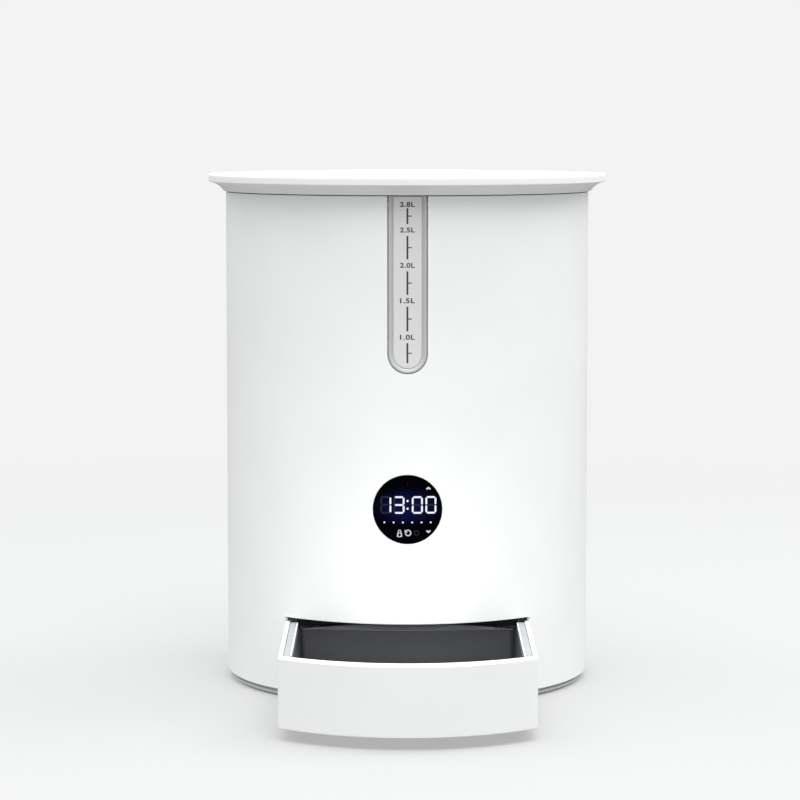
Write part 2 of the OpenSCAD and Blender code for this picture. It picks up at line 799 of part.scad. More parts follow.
module dispenser_chamber() {
    color("white") difference() {
        union() {
            translate([0, 0, chamber_z]) ring(chamber_out_r, chamber_r, chamber_top - chamber_z);
            translate([0, 0, chamber_z]) cylinder(r = chamber_out_r, h = chamber_floor);
            translate([0, 0, chamber_top - 2.5]) ring(flange_ring_r, chamber_r, 2.5);
        }
        translate([0, 0, chamber_z - 1])
            ring_sector(outlet_out_r, outlet_r, chamber_floor + 2, 270 - outlet_half, 270 + outlet_half);
        translate([0, 0, chamber_z - 1]) cylinder(r = bush_r + 0.02, h = chamber_floor + 2);
        around(flange_screw_r, [45, 135, 225, 315]) translate([0, 0, chamber_top - 4])
            cylinder(r = clear_r, h = 6);
        translate([0, 0, chamber_z - 1]) {
            case_corners() cylinder(r = pilot_r, h = chamber_floor + 0.4);
            chute_screw_places() cylinder(r = pilot_r, h = chamber_floor + 0.4);
        }
    }
}

module chamber_screws() {
    around(flange_screw_r, [45, 135, 225, 315]) translate([0, 0, chamber_top - 2.5]) screw_up(8);
}

module shaft_bush() {
    color("peru") difference() {
        union() {
            translate([0, 0, case_top]) cylinder(r = bush_r, h = floor_top - case_top);
            translate([0, 0, floor_top]) cylinder(r = bush_r + 2, h = bush_flange_t);
        }
        translate([0, 0, case_top - 1]) cylinder(r = shaft_r + run, h = floor_top - case_top + 6);
    }
}

module rotor() {
    hub_top_r = 10;
    color("lightgray") difference() {
        union() {
            translate([0, 0, rotor_z]) cylinder(r = hub_r, h = hub_side_h);
            translate([0, 0, rotor_z + hub_side_h])
                cylinder(r1 = hub_r, r2 = hub_top_r, h = vane_h - hub_side_h);
            for (i = [0:pockets - 1]) rotate([0, 0, 90 + 360 * (i + 0.5) / pockets])
                translate([hub_top_r - 2, -vane_t / 2, rotor_z])
                    cube([vane_r - hub_top_r + 2, vane_t, vane_h]);
        }
        translate([0, 0, rotor_z - 1]) cylinder(r = shaft_r + 0.03, h = vane_h + 2);
        translate([0, 0, rotor_z - 1])
            cylinder(r = bush_r + 2 + 0.8, h = 1 + bush_flange_t + fit - rotor_lift);
        translate([0, 0, rotor_z - 1]) ring(hub_r - 2, bush_r + 5, hub_side_h - 1);
    }
}

module rotor_tips() {
    color("dimgray") for (i = [0:pockets - 1]) rotate([0, 0, 90 + 360 * (i + 0.5) / pockets])
        translate([vane_r, -vane_t * 0.3, rotor_z + 0.2]) cube([tip_l, vane_t * 0.6, vane_h - 0.6]);
}

agitator_z = rotor_z + vane_h;
agitator_post = 24;

module agitator() {
    color("lightgray") difference() {
        union() {
            translate([0, 0, agitator_z]) cylinder(r = 9.5, h = 5);
            translate([0, 0, agitator_z + 4]) cylinder(r1 = 9.5, r2 = 5.5, h = agitator_post - 4);
            for (a = [30, 150, 270]) rotate([0, 0, a]) translate([0, 0, agitator_z + 14]) rotate([0, 68, 0]) {
                cylinder(r = 3, h = 40);
                translate([0, 0, 40]) sphere(r = 3);
            }
        }
        translate([0, 0, agitator_z - 1]) cylinder(r = clear_r, h = agitator_post + 2);
        translate([0, 0, agitator_z + agitator_post - head_h - 0.6])
            cylinder(r = head_r + 0.4, h = head_h + 2);
    }
}

module agitator_screw() {
    translate([0, 0, agitator_z + agitator_post - head_h - 0.6])
        mirror([0, 0, 1]) screw_up(agitator_post - head_h + 5);
}

module drive_shaft() {
    low = case_z + 1;
    color("silver") difference() {
        translate([0, 0, low]) cylinder(r = shaft_r, h = agitator_z - low);
        translate([0, 0, agitator_z - 8]) cylinder(r = pilot_r, h = 9);
    }
}

// ---------------------------------------------------------------- gear train

module output_gear() {
    color("ivory") difference() {
        union() {
            translate([0, 0, output_z]) rotate([0, 0, idler_angle]) gear_wheel(output_teeth, gear_face);
            translate([0, 0, output_z - 2]) cylinder(r = shaft_r + 4, h = gear_face + 3);
        }
        translate([0, 0, output_z - 3]) cylinder(r = shaft_r + 0.03, h = gear_face + 6);
        translate([0, 0, output_z + gear_face - 1.5]) ring(output_pr - 4, shaft_r + 6, 2);
    }
}

module encoder_disc() {
    color("black") difference() {
        union() {
            translate([0, 0, encoder_z]) cylinder(r = encoder_r, h = encoder_t);
            translate([0, 0, encoder_z]) cylinder(r = shaft_r + 2.5, h = output_z - 2 - encoder_z - 0.2);
        }
        translate([0, 0, encoder_z - 1]) cylinder(r = shaft_r + 0.03, h = output_z - encoder_z);
        for (i = [0:pockets - 1]) rotate([0, 0, 360 * i / pockets])
            translate([encoder_r - 4.5, -1, encoder_z - 1]) cube([6, 2, encoder_t + 2]);
    }
}

module photo_sensor() {
    slot_z = encoder_z - 1;
    x0 = encoder_r - 5;
    color("dimgray") translate([0, 0, case_floor_z]) rotate([0, 0, -40]) difference() {
        translate([x0, -4, 0]) cube([sensor_l, 8, encoder_z + encoder_t + 1 - case_floor_z + 1.2]);
        translate([x0 - 1, -5, slot_z - case_floor_z]) cube([7.5, 10, encoder_t + 2]);
    }
}

module idler_gear() {
    hub = pin_r + 2.4;
    color("ivory") translate([idler_x, idler_y, 0]) difference() {
        union() {
            translate([0, 0, idler_small_z]) rotate([0, 0, idler_angle + 180 + 180 / idler_small_teeth])
                gear_wheel(idler_small_teeth, gear_face + 0.5);
            translate([0, 0, idler_big_z]) rotate([0, 0, 180]) gear_wheel(idler_big_teeth, gear_face);
            translate([0, 0, idler_big_z - 1]) cylinder(r = hub, h = idler_small_z - idler_big_z + 2);
        }
        translate([0, 0, idler_big_z - 2]) cylinder(r = pin_r + run, h = 3 * gear_face);
    }
}

module idler_pin() {
    color("silver") translate([idler_x, idler_y, case_floor_z - 1.2])
        cylinder(r = pin_r, h = case_top + 2 - case_floor_z + 1.2);
}

module motor_pinion() {
    color("goldenrod") translate([motor_x, motor_y, 0]) {
        translate([0, 0, idler_big_z - 0.8]) rotate([0, 0, 180 / pinion_teeth])
            gear_wheel(pinion_teeth, gear_face + 1.2);
        translate([0, 0, case_z - 6]) cylinder(r = motor_shaft_r, h = idler_big_z - 0.8 - case_z + 6.5);
    }
}

module gearcase() {
    lower_r = shaft_r + 3.5;
    color("gainsboro") difference() {
        union() {
            difference() {
                translate([0, 0, case_z]) rounded_block(case_x0, case_y0, case_x1, case_y1, case_h, 4);
                translate([0, 0, case_floor_z]) rounded_block(case_x0 + case_wall, case_y0 + case_wall,
                    case_x1 - case_wall, case_y1 - case_wall, case_h, 3);
            }
            translate([0, 0, case_z]) case_corners() cylinder(r = post_r, h = case_h);
            translate([0, 0, case_z]) cylinder(r = lower_r, h = socket_h);
            translate([idler_x, idler_y, case_z]) cylinder(r = pin_r + 2.5, h = idler_big_z - 1.3 - case_z);
        }
        translate([0, 0, case_z + 1 - fit]) cylinder(r = shaft_r + run, h = socket_h);
        translate([idler_x, idler_y, case_floor_z - 1.2]) cylinder(r = pin_r + 0.03, h = case_h);
        translate([motor_x, motor_y, case_z - 1]) {
            cylinder(r = 4.2, h = case_wall + 2);
            for (x = [-motor_screw_x, motor_screw_x])
                translate([x, 0, 0]) cylinder(r = clear_r, h = case_wall + 2);
        }
        translate([0, 0, case_z - 1]) case_corners() {
            cylinder(r = clear_r, h = case_h + 2);
            cylinder(r = head_r + 0.3, h = 1 + head_h + 0.2);
        }
    }
}

module gearcase_cover() {
    color("gainsboro") difference() {
        translate([0, 0, case_top]) rounded_block(case_x0, case_y0, case_x1, case_y1, cover_t, 4);
        translate([0, 0, case_top - 1]) cylinder(r = bush_r + 0.02, h = cover_t + 2);
        translate([idler_x, idler_y, case_top - 1]) cylinder(r = pin_r + 0.03, h = 3.2);
        translate([0, 0, case_top - 1]) case_corners() cylinder(r = clear_r, h = cover_t + 2);
    }
}

module gearcase_screws() {
    case_corners() translate([0, 0, case_z + head_h + 0.2])
        screw_up(chamber_z + chamber_floor - 0.8 - case_z - head_h - 0.2);
}

module motor_gearhead() {
    color("silver") translate([motor_x, motor_y, case_z - gearhead_l]) difference() {
        cylinder(r = motor_d / 2, h = gearhead_l);
        translate([0, 0, gearhead_l - 6.5]) cylinder(r = motor_shaft_r + run, h = 8);
        for (x = [-motor_screw_x, motor_screw_x])
            translate([x, 0, gearhead_l - 4]) cylinder(r = pilot_r, h = 5);
    }
}

module motor_screws() {
    for (x = [-motor_screw_x, motor_screw_x]) translate([motor_x + x, motor_y, case_floor_z])
        mirror([0, 0, 1]) screw_up(case_wall + 3);
}

module motor() {
    low = case_z - gearhead_l - motor_l;
    color("slategray") translate([motor_x, motor_y, low]) {
        cylinder(r = motor_d / 2 - 0.3, h = motor_l);
        translate([0, 0, -1.2]) cylinder(r = 4, h = 1.2);
        for (x = [-7, 7]) translate([x - 1, -0.3, -2.6]) cube([2, 0.6, 2.7]);
    }
}

// ---------------------------------------------------------------- chute and drawer bay

chute_screw_x = chute_half + chute_wall + post_r;
chute_screw_y = (chute_in_y0 + chute_in_y1) / 2;

module chute_screw_places() {
    for (x = [-chute_screw_x, chute_screw_x]) translate([x, chute_screw_y, 0]) children();
}

// The duct's side view: straight under the outlet, then leaning towards the drawer
module chute_profile(grow) {
    polygon([[chute_in_y0 - grow, chamber_z], [chute_in_y0 - grow, chamber_z - 12],
        [chute_in_y0 - chute_shift - grow, chute_low_z + 18], [chute_in_y0 - chute_shift - grow, chute_low_z],
        [chute_in_y1 - chute_shift + grow, chute_low_z], [chute_in_y1 - chute_shift + grow, chute_low_z + 14],
        [chute_in_y1 + grow, chamber_z - 16], [chute_in_y1 + grow, chamber_z]]);
}

module food_chute() {
    color("dimgray") difference() {
        union() {
            translate([-chute_half - chute_wall, 0, 0]) rotate([90, 0, 90])
                linear_extrude(height = 2 * (chute_half + chute_wall)) chute_profile(chute_wall);
            translate([0, 0, chamber_z - chute_flange_t]) chute_screw_places()
                cylinder(r = post_r, h = chute_flange_t);
            translate([-chute_screw_x, chute_screw_y - post_r, chamber_z - chute_flange_t])
                cube([2 * chute_screw_x, 2 * post_r, chute_flange_t]);
        }
        translate([-chute_half, 0, 0]) rotate([90, 0, 90])
            linear_extrude(height = 2 * chute_half) chute_profile(0);
        translate([-chute_half, chute_in_y0, chamber_z - 10])
            cube([2 * chute_half, chute_in_y1 - chute_in_y0, 12]);
        translate([-chute_half, chute_in_y0 - chute_shift, chute_low_z - 2])
            cube([2 * chute_half, chute_in_y1 - chute_in_y0, 10]);
        translate([0, 0, chamber_z - chute_flange_t - 1]) chute_screw_places()
            cylinder(r = clear_r, h = chute_flange_t + 2);
    }
}

module chute_screws() {
    chute_screw_places() translate([0, 0, chamber_z - chute_flange_t])
        screw_up(chute_flange_t + chamber_floor - 0.9);
}

module drawer_bay() {
    hole_half = chute_half + chute_wall + fit;
    hole_y0 = chute_in_y0 - chute_shift - chute_wall - fit;
    hole_y1 = chute_in_y1 - chute_shift + chute_wall + fit;
    color([0.2, 0.2, 0.22]) difference() {
        intersection() {
            difference() {
                translate([-bay_half - bay_wall, -body_r, base_top])
                    cube([2 * (bay_half + bay_wall), body_r + bay_rear, bay_roof_z + bay_wall - base_top]);
                translate([-bay_half, -body_r - 1, base_top - 1])
                    cube([2 * bay_half, body_r + bay_rear - bay_wall + 1, bay_roof_z - base_top + 1]);
            }
            translate([0, 0, base_top]) cylinder(r = bay_round_r, h = body_top);
        }
        translate([-hole_half, hole_y0, bay_roof_z - 1])
            cube([2 * hole_half, hole_y1 - hole_y0, bay_wall + 2]);
    }
    color([0.2, 0.2, 0.22]) for (x = [-bay_foot_x, bay_foot_x])
        translate([x, bay_foot_y, base_top + base_pad_h]) difference() {
            translate([-post_r - 0.8, bay_rear - bay_foot_y, 0]) cube([2 * post_r + 1.6, 9, 9]);
            translate([0, 0, -1]) cylinder(r = pilot_r, h = 9.4);
        }
}

// ---------------------------------------------------------------- base, batteries

// The screws into the housing's posts, and the two into the feet of the drawer bay
module base_screw_places() {
    around(base_post_r, base_post_angles) children();
    for (x = [-bay_foot_x, bay_foot_x]) translate([x, bay_foot_y, 0]) children();
}

module battery_hinge_axis(r, half) {
    translate([-half, hinge_y, hinge_z]) rotate([0, 90, 0]) cylinder(r = r, h = 2 * half);
}

module base_plate() {
    inlet_stand_w = inlet_w + 5;
    color([0.62, 0.62, 0.63]) difference() {
        union() {
            rotate_extrude() polygon([
                [0, base_z], [base_r, base_z], [base_r, base_z + base_edge_t],
                [upstand_r, base_z + base_edge_t], [upstand_r, base_top + upstand_h],
                [upstand_r - upstand_w, base_top + upstand_h], [upstand_r - upstand_w, base_top],
                [0, base_top]]);
            base_screw_places() translate([0, 0, base_z]) cylinder(r = post_r + 0.8, h = base_t + base_pad_h);
            translate([-well_half - well_wall, well_y0 - well_wall, base_z])
                cube([2 * (well_half + well_wall), well_y1 - well_y0 + 2 * well_wall,
                    well_top + well_wall - base_z]);
            for (x = [-1, 1]) translate([x * runner_x - runner_w / 2, runner_y0, base_z])
                cube([runner_w, drawer_rear - 1 - runner_y0, drawer_bottom - fit - base_z]);
            translate([-inlet_stand_w / 2, inner_r - 17, base_z])
                cube([inlet_stand_w, 9, inlet_z - inlet_h / 2 - 1.2 - base_z]);
        }
        translate([-opening_half, -body_r - 1, drawer_bottom - fit])
            cube([2 * opening_half, body_r + drawer_rear, upstand_h + 6]);
        translate([-well_half, well_y0, base_z - 1])
            cube([2 * well_half, well_y1 - well_y0, well_top - base_z + 1]);
        battery_hinge_axis(door_pin_r + run, well_half + well_wall - 0.4);
        base_screw_places() translate([0, 0, base_z - 1]) {
            cylinder(r = clear_r, h = base_t + base_pad_h + 2);
            cylinder(r = head_r + 0.3, h = 1 + head_h + 0.2);
        }
    }
}

module foot_ring() {
    color([0.25, 0.25, 0.26]) ring(foot_r, foot_r - foot_w, foot_h);
}

module base_screws() {
    base_screw_places() translate([0, 0, base_z + head_h + 0.2]) screw_up(10);
}

module battery_door() {
    color([0.62, 0.62, 0.63]) difference() {
        union() {
            translate([-well_half + fit, hinge_y, base_z])
                cube([2 * (well_half - fit), door_y1 - hinge_y, door_t]);
            battery_hinge_axis(hinge_r, well_half - fit);
            battery_hinge_axis(door_pin_r, well_half + well_wall - 0.8);
        }
        translate([-12, door_y1 - 5, base_z - 1]) cube([24, 2.4, 1 + door_t * 0.5]);
    }
}

module cell_places() {
    for (i = [0:cells - 1]) translate([(i - (cells - 1) / 2) * cell_pitch, 0, cell_z]) children();
}

cell_y0 = well_y0 + 5.2;

module batteries() {
    color("darkslategray") cell_places() translate([0, cell_y0, 0]) {
        y_cylinder(cell_d / 2, cell_l - 1.5);
        translate([0, cell_l - 1.6, 0]) y_cylinder(4.75, 1.6);
    }
}

// Sprung plates: flat against the well's end wall, with a tongue that bows out to the cell
module battery_contacts() {
    t = 0.4;
    reach = cell_y0 - well_y0;
    far = well_y1 - cell_y0 - cell_l;
    color("silver") cell_places() {
        translate([-9, well_y0, -9]) cube([18, t, 18]);
        translate([-4, 0, 0]) rotate([90, 0, 90]) linear_extrude(height = 8)
            polygon([[well_y0 + t, -8], [well_y0 + reach, -1], [well_y0 + reach, 1], [well_y0 + t, 6],
                [well_y0 + t, 5.2], [well_y0 + reach - t, 0.6], [well_y0 + reach - t, -0.6],
                [well_y0 + t, -7.2]]);
        translate([-9, well_y1 - t, -9]) cube([18, t, 18]);
        translate([-4, well_y1 - far, -4]) cube([8, far, 8]);
    }
}

// ---------------------------------------------------------------- rear electronics

module main_board() {
    color("seagreen") difference() {
        translate([-main_half, main_y, main_z0]) cube([2 * main_half, board_t, main_z1 - main_z0]);
        for (x = [-main_half + board_hole_inset, main_half - board_hole_inset],
                z = [main_z0 + board_hole_inset, main_z1 - board_hole_inset])
            translate([x, main_y - 1, z]) y_cylinder(clear_r, board_t + 2);
    }
}

module board_components() {
    chip = 14;
    plug_t = 5;
    low_plugs_x = [-28, 2, 14];
    can_h = 12;
    color("black") translate([-8, main_y - board_t, main_z0 + 20]) cube([chip, board_t, chip]);
    color("ivory") translate([main_half - 8, main_y - plug_t, main_z0 + 18]) cube([6, plug_t, 9]);
    color("ivory") for (x = low_plugs_x)
        translate([x, main_y - plug_t, main_z0 + 2]) cube([8, plug_t, x < 0 ? 10 : 6]);
    color("navy") for (z = [main_z0 + 30, main_z0 + 40])
        translate([-20, main_y - can_h, z]) y_cylinder(4, can_h);
    color("dimgray") translate([12, main_y - 4, main_z1 - 16]) cube([8, 4, 8]);
}

module main_board_screws() {
    for (x = [-main_half + board_hole_inset, main_half - board_hole_inset],
            z = [main_z0 + board_hole_inset, main_z1 - board_hole_inset])
        translate([x, main_y, z]) rotate([-90, 0, 0]) screw_up(8);
}

module speaker() {
    color("black") translate([0, speaker_y - speaker_h, speaker_z]) {
        y_cylinder(speaker_d / 2, speaker_h);
        translate([0, -3, 0]) y_cylinder(speaker_d * 0.28, 3.1);
    }
}

module power_inlet() {
    body_y = inner_r - 16;
    color("silver") difference() {
        union() {
            translate([-inlet_w / 2 - 2, body_y, inlet_z - inlet_h / 2 - 1.2])
                cube([inlet_w + 4, 12, inlet_h + 3]);
            translate([-inlet_w / 2, body_y + 10, inlet_z - inlet_h / 2]) cube([inlet_w, 7.5, inlet_h]);
        }
        translate([-4, body_y + 9, inlet_z - 1.3]) cube([8, 10, 2.6]);
    }
}

module display_cable() {
    color("gray") loom(display_route, 2.6);
}

module motor_cable() {
    color("firebrick") loom(motor_route, 2.4);
}

module rear_cables() {
    color("dimgray") for (route = [inlet_route, battery_route, speaker_route]) loom(route, 2);
}

// ---------------------------------------------------------------- drawer and bin

module bin_pocket(grow, z0, z1) {
    arc_front_block(bin_half + bin_wall + grow, bin_front_r + bin_wall + grow, -mouth_front + bin_front_r,
        bin_rear + bin_wall + grow, mouth_corner + bin_wall + grow, z0, z1);
}

module drawer_shell() {
    rear_in = drawer_rear - drawer_wall;
    strip_y0 = strip_front - bin_clear;
    color("white") difference() {
        arc_front_block(drawer_half, body_r, -drawer_out, drawer_rear, drawer_corner,
            drawer_bottom, drawer_top);
        bin_pocket(bin_clear, bin_z, drawer_top + 1);
        for (side = [-1, 1]) translate([side * (frame_out + groove - strip_room / 2), 0, frame_z]) {
            translate([-strip_room / 2, strip_y0 + strip_room / 2, 0])
                cube([strip_room, rear_in - strip_y0 - strip_room / 2, drawer_top]);
            translate([0, strip_y0 + strip_room / 2, 0]) cylinder(r = strip_room / 2, h = drawer_top);
        }
        translate([-bin_half, bin_rear, bin_rear_top])
            cube([2 * bin_half, drawer_rear - bin_rear + 1, drawer_top]);
        difference() {
            arc_front_block(drawer_half - drawer_wall, body_r - drawer_wall, -drawer_out, strip_front,
                drawer_corner, drawer_bottom - 1, drawer_top - drawer_wall);
            bin_pocket(bin_clear + drawer_wall, drawer_bottom - 2, drawer_top);
        }
    }
}

module bin_frame() {
    r = frame_w / 2;
    color([0.87, 0.89, 0.9]) for (side = [-1, 1]) translate([side * (frame_out - r), 0, frame_z]) {
        translate([-r, strip_front + r, 0]) cube([frame_w, frame_rear - strip_front - r, frame_t]);
        translate([0, strip_front + r, 0]) cylinder(r = r, h = frame_t);
    }
}

module food_bin() {
    side = bin_half + bin_wall;
    arch_r = 700;
    color([0.26, 0.27, 0.29]) {
        difference() {
            bin_pocket(0, bin_z, frame_z);
            arc_front_block(bin_half, bin_front_r, -mouth_front + bin_front_r, bin_rear, mouth_corner,
                bin_z + bin_wall, frame_z + 1);
            translate([-side - 1, 0, 0]) rotate([90, 0, 90]) linear_extrude(height = 2 * side + 2)
                polygon([[frame_rear, frame_z + 1], [frame_rear, frame_z], [bin_rear, bin_rear_top],
                    [bin_rear + 5, bin_rear_top], [bin_rear + 5, frame_z + 1]]);
        }
        intersection() {
            translate([-bin_half - 0.5, bin_rear, bin_rear_top - 0.5]) cube([2 * bin_half + 1, bin_wall, 6]);
            translate([0, bin_rear - 1, bin_rear_top + bin_arch - arch_r]) y_cylinder(arch_r, bin_wall + 2);
        }
    }
}

lid_shell();
lid_liner();
lid_seal();
lid_screws();
desiccant_cup();
desiccant_sachet();
desiccant_cap();
housing();
window_frame();
window_pane();
display_glass();
display_board();
led_module();
touch_springs();
microphone();
display_screws();
hopper();
hopper_screws();
outlet_guard();
wiper_blade();
dispenser_chamber();
chamber_screws();
shaft_bush();
gearcase_cover();
gearcase();
gearcase_screws();
idler_pin();
motor();
motor_gearhead();
motor_screws();
photo_sensor();
food_chute();
chute_screws();
drawer_bay();
base_plate();
foot_ring();
base_screws();
battery_contacts();
batteries();
battery_door();
main_board();
board_components();
main_board_screws();
speaker();
power_inlet();
display_cable();
motor_cable();
rear_cables();
rotor();
rotor_tips();
agitator();
agitator_screw();
drive_shaft();
output_gear();
encoder_disc();
idler_gear();
motor_pinion();
drawer_shell();
bin_frame();
food_bin();
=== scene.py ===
import json
from math import asin, atan2, ceil, cos, degrees, floor, hypot, pi, radians, sin, sqrt

import bmesh
import bpy
from mathutils import Matrix, Vector


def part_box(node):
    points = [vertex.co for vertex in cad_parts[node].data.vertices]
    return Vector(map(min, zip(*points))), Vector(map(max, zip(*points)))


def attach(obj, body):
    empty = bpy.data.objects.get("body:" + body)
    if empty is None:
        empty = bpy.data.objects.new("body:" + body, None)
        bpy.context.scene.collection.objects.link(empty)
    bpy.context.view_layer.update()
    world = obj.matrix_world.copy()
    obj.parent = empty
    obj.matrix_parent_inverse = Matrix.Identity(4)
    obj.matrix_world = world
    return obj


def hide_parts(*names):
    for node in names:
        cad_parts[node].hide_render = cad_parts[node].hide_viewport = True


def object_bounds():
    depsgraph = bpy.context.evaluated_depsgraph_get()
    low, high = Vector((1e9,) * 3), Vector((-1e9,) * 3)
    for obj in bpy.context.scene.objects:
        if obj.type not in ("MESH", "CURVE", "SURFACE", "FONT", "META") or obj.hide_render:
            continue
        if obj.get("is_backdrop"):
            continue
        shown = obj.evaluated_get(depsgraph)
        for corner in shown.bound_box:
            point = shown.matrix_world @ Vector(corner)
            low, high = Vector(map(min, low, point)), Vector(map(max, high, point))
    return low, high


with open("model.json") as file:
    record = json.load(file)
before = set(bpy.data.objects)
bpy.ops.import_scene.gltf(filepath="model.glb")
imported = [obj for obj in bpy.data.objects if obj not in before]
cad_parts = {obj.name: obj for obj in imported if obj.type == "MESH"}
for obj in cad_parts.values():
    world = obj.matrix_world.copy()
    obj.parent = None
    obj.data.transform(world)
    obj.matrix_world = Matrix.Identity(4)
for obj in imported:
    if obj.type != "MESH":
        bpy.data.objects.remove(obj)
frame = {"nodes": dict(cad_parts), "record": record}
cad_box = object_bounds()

# Automatic pet feeder: moulded shells, level window, lit clock display, drawer and bin.
# Pieces are modelled in millimetres on the frame's axes, and become metres as they are finished.

MM = 0.001
scene = bpy.context.scene
scene.view_settings.view_transform = "Standard"


def box_mm(node):
    """A CAD node's lowest and highest corner in millimetres."""
    low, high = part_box(node)
    return low / MM, high / MM


# ---------------------------------------------------------------- sizes, in millimetres

WELD = 1e-3      # points nearer than this are one
NEAR = 0.1       # what lies this near a plane is on it
PAST = 5         # how far a cutter stands out of what it cuts
BARELY_PAST = 1  # the same for a cutter that is cut itself
sink = 0.3       # how far a boss or a rib reaches into the wall that carries it
snug = 0.15      # the gap round what sits in a hole or a cup of the housing
hair = 0.05      # the gap between pieces that all but touch
flange_w = 3     # how far a flange behind the housing's wall overlaps it

housing_low, housing_high = box_mm("housing")
body_r = housing_high.x
body_wall = 2.6
inner_r = body_r - body_wall
body_low, body_top = housing_low.z, housing_high.z
ledge_z = body_top - 4

lid_low, lid_high = box_mm("lid_shell")
lid_r = lid_high.x
lid_wall = 2.4
lid_ceiling = lid_high.z - lid_wall
lid_rim_z = lid_low.z + 5.5
lid_foot_r, lid_inner_r = body_r + 1.2, body_r - 1.2
lid_hollow_r, lid_hollow_edge = lid_r - 4.2, 0.7
lid_post_r = 60
cove_r = 12.4
liner_top = box_mm("lid_liner")[1].z

pane_low, pane_high = box_mm("window_pane")
pane_half = pane_high.x
pane_front = 1.2
border = 3.05                # the bezel's width
frame_top = box_mm("window_frame")[1].z
frame_half = pane_half + border
frame_front = 0.15
slot_half = frame_half + snug
slot_low = pane_low.z - border - snug

glass_low, glass_high = box_mm("display_glass")
display_z = (glass_low.z + glass_high.z) / 2
glass_flange_r = (glass_high.x - glass_low.x) / 2
glass_r = glass_flange_r - flange_w
glass_hole_r = glass_r + snug
glass_front = 0.05

drawer_low, drawer_high = box_mm("drawer_shell")
drawer_half = drawer_high.x
drawer_front, drawer_rear = drawer_low.y, drawer_high.y
drawer_wall = 2.7
drawer_corner = 2
drawer_arc_y = drawer_front + body_r
opening_half = drawer_half + 0.5
opening_top = drawer_high.z + 2.5

bin_low, bin_high = box_mm("food_bin")
bin_wall = 1.8
bin_half = bin_high.x - bin_wall
bin_front, bin_rear = bin_low.y + bin_wall, bin_high.y - bin_wall
bin_arc_r = 110.5
bin_arc_y = bin_front + bin_arc_r
bin_rear_top = drawer_high.z - 8
bin_clear = 0.5              # the gap round the bin in its pocket
mouth_corner = 4

strip_low, strip_high = box_mm("bin_frame")
strip_edge = strip_high.x + 0.5
groove = 0.35                # the shadow line outside each strip
lip_in = strip_edge - 4.3    # the white lip on a strip's inner side
lip_out = lip_in + 0.85

pilot_r = 1.55
pilot_depth = 7
post_r = 3.8
hopper_boss_r = inner_r - 4.4
base_boss_r = 91
base_pad_z = box_mm("base_plate")[0].z + 5.4
board_inset = 5
speaker_low, speaker_high = box_mm("speaker")
speaker_r = speaker_high.x
speaker_z = (speaker_low.z + speaker_high.z) / 2

# Degrees round the Z axis.
FOUR_SCREWS = (45, 135, 225, 315)    # in the lid and under the hopper's rim
BASE_SCREWS = (20, 66, 114, 160, 208, 332)


# ---------------------------------------------------------------- shader helpers

def linear(code):
    """An sRGB hex colour as linear RGBA."""
    parts = [int(code[i:i + 2], 16) / 255 for i in (0, 2, 4)]
    return [p / 12.92 if p <= 0.04045 else ((p + 0.055) / 1.055) ** 2.4 for p in parts] + [1]


# A Wave texture's bands lie 0.31 apart at a scale of 1. With this they are about twice as far apart as the
# size that per_mm() is given.
WAVE_SPREAD = 6


def per_mm(size):
    """The scale that gives a texture features of this many millimetres on Object coordinates."""
    return 1 / (size * MM)


def add(tree, kind, inputs=None, **settings):
    """Adds a shader node: its settings by name, and each input's value or the socket that feeds it."""
    made = tree.nodes.new("ShaderNode" + kind)
    for name, value in settings.items():
        setattr(made, name, value)
    for name, value in (inputs or {}).items():
        if isinstance(value, bpy.types.NodeSocket):
            tree.links.new(value, made.inputs[name])
        else:
            made.inputs[name].default_value = value
    return made


def new_material(name):
    """An empty node material: its tree, its Object coordinates, and a function that gives it a shader."""
    material = bpy.data.materials.new(name)
    material.use_nodes = True
    tree = material.node_tree
    tree.nodes.clear()
    place = add(tree, "TexCoord").outputs["Object"]

    def end(shader):
        """Links the material's shader and hands the material over."""
        add(tree, "OutputMaterial", {"Surface": shader.outputs[0]})
        return material

    return tree, place, end


def drift(tree, place, size, low, high):
    """A colour that drifts between two close hex tones, in patches of a size in millimetres."""
    patches = add(tree, "TexNoise", {"Vector": place, "Scale": per_mm(size), "Detail": 2.0})
    share = add(tree, "MapRange", {"Value": patches.outputs["Fac"], "From Min": 0.3, "From Max": 0.7})
    return add(tree, "Mix", {0: share.outputs["Result"], 6: linear(low), 7: linear(high)},
               data_type="RGBA").outputs[2]


def handled(tree, place, size, rough, swing):
    """Roughness that swings about its middle, in patches of a size in millimetres."""
    patches = add(tree, "TexNoise", {"Vector": place, "Scale": per_mm(size), "Detail": 2.0})
    return add(tree, "MapRange", {"Value": patches.outputs["Fac"], "To Min": rough - swing,
                                  "To Max": rough + swing}).outputs["Result"]


def grained(tree, place, size, depth, detail=2.0):
    """The normal of a surface with an even grain, whose size and depth are in millimetres."""
    grain = add(tree, "TexNoise", {"Vector": place, "Scale": per_mm(size), "Detail": detail})
    return add(tree, "Bump", {"Height": grain.outputs["Fac"], "Distance": depth * MM,
                              "Strength": 1.0}).outputs["Normal"]


def moulded(name, low, high, rough, grain, depth, **surface):
    """Moulded plastic: two close tones, as the melt flows, and the tool's fine spark-eroded grain, whose
    size and depth are in millimetres."""
    tree, place, end = new_material(name)
    return end(add(tree, "BsdfPrincipled", {
        "Base Color": drift(tree, place, 45, low, high), "Roughness": handled(tree, place, 9, rough, 0.03),
        "Normal": grained(tree, place, grain, depth), **surface}))


# ---------------------------------------------------------------- materials

def satin_white_abs():
    """ABS, moulded in a finely spark-eroded tool: a clean satin white that spreads highlights."""
    return moulded("satin moulded ABS white", "f3f4f3", "f6f7f6", 0.42, 0.5, 0.004, IOR=1.53)


def matt_white_abs():
    """ABS, moulded in a plainer tool: the inner fittings, a little cooler and duller than the shells."""
    return moulded("matt moulded ABS", "e4e7e7", "eaecec", 0.55, 0.7, 0.008, IOR=1.53)


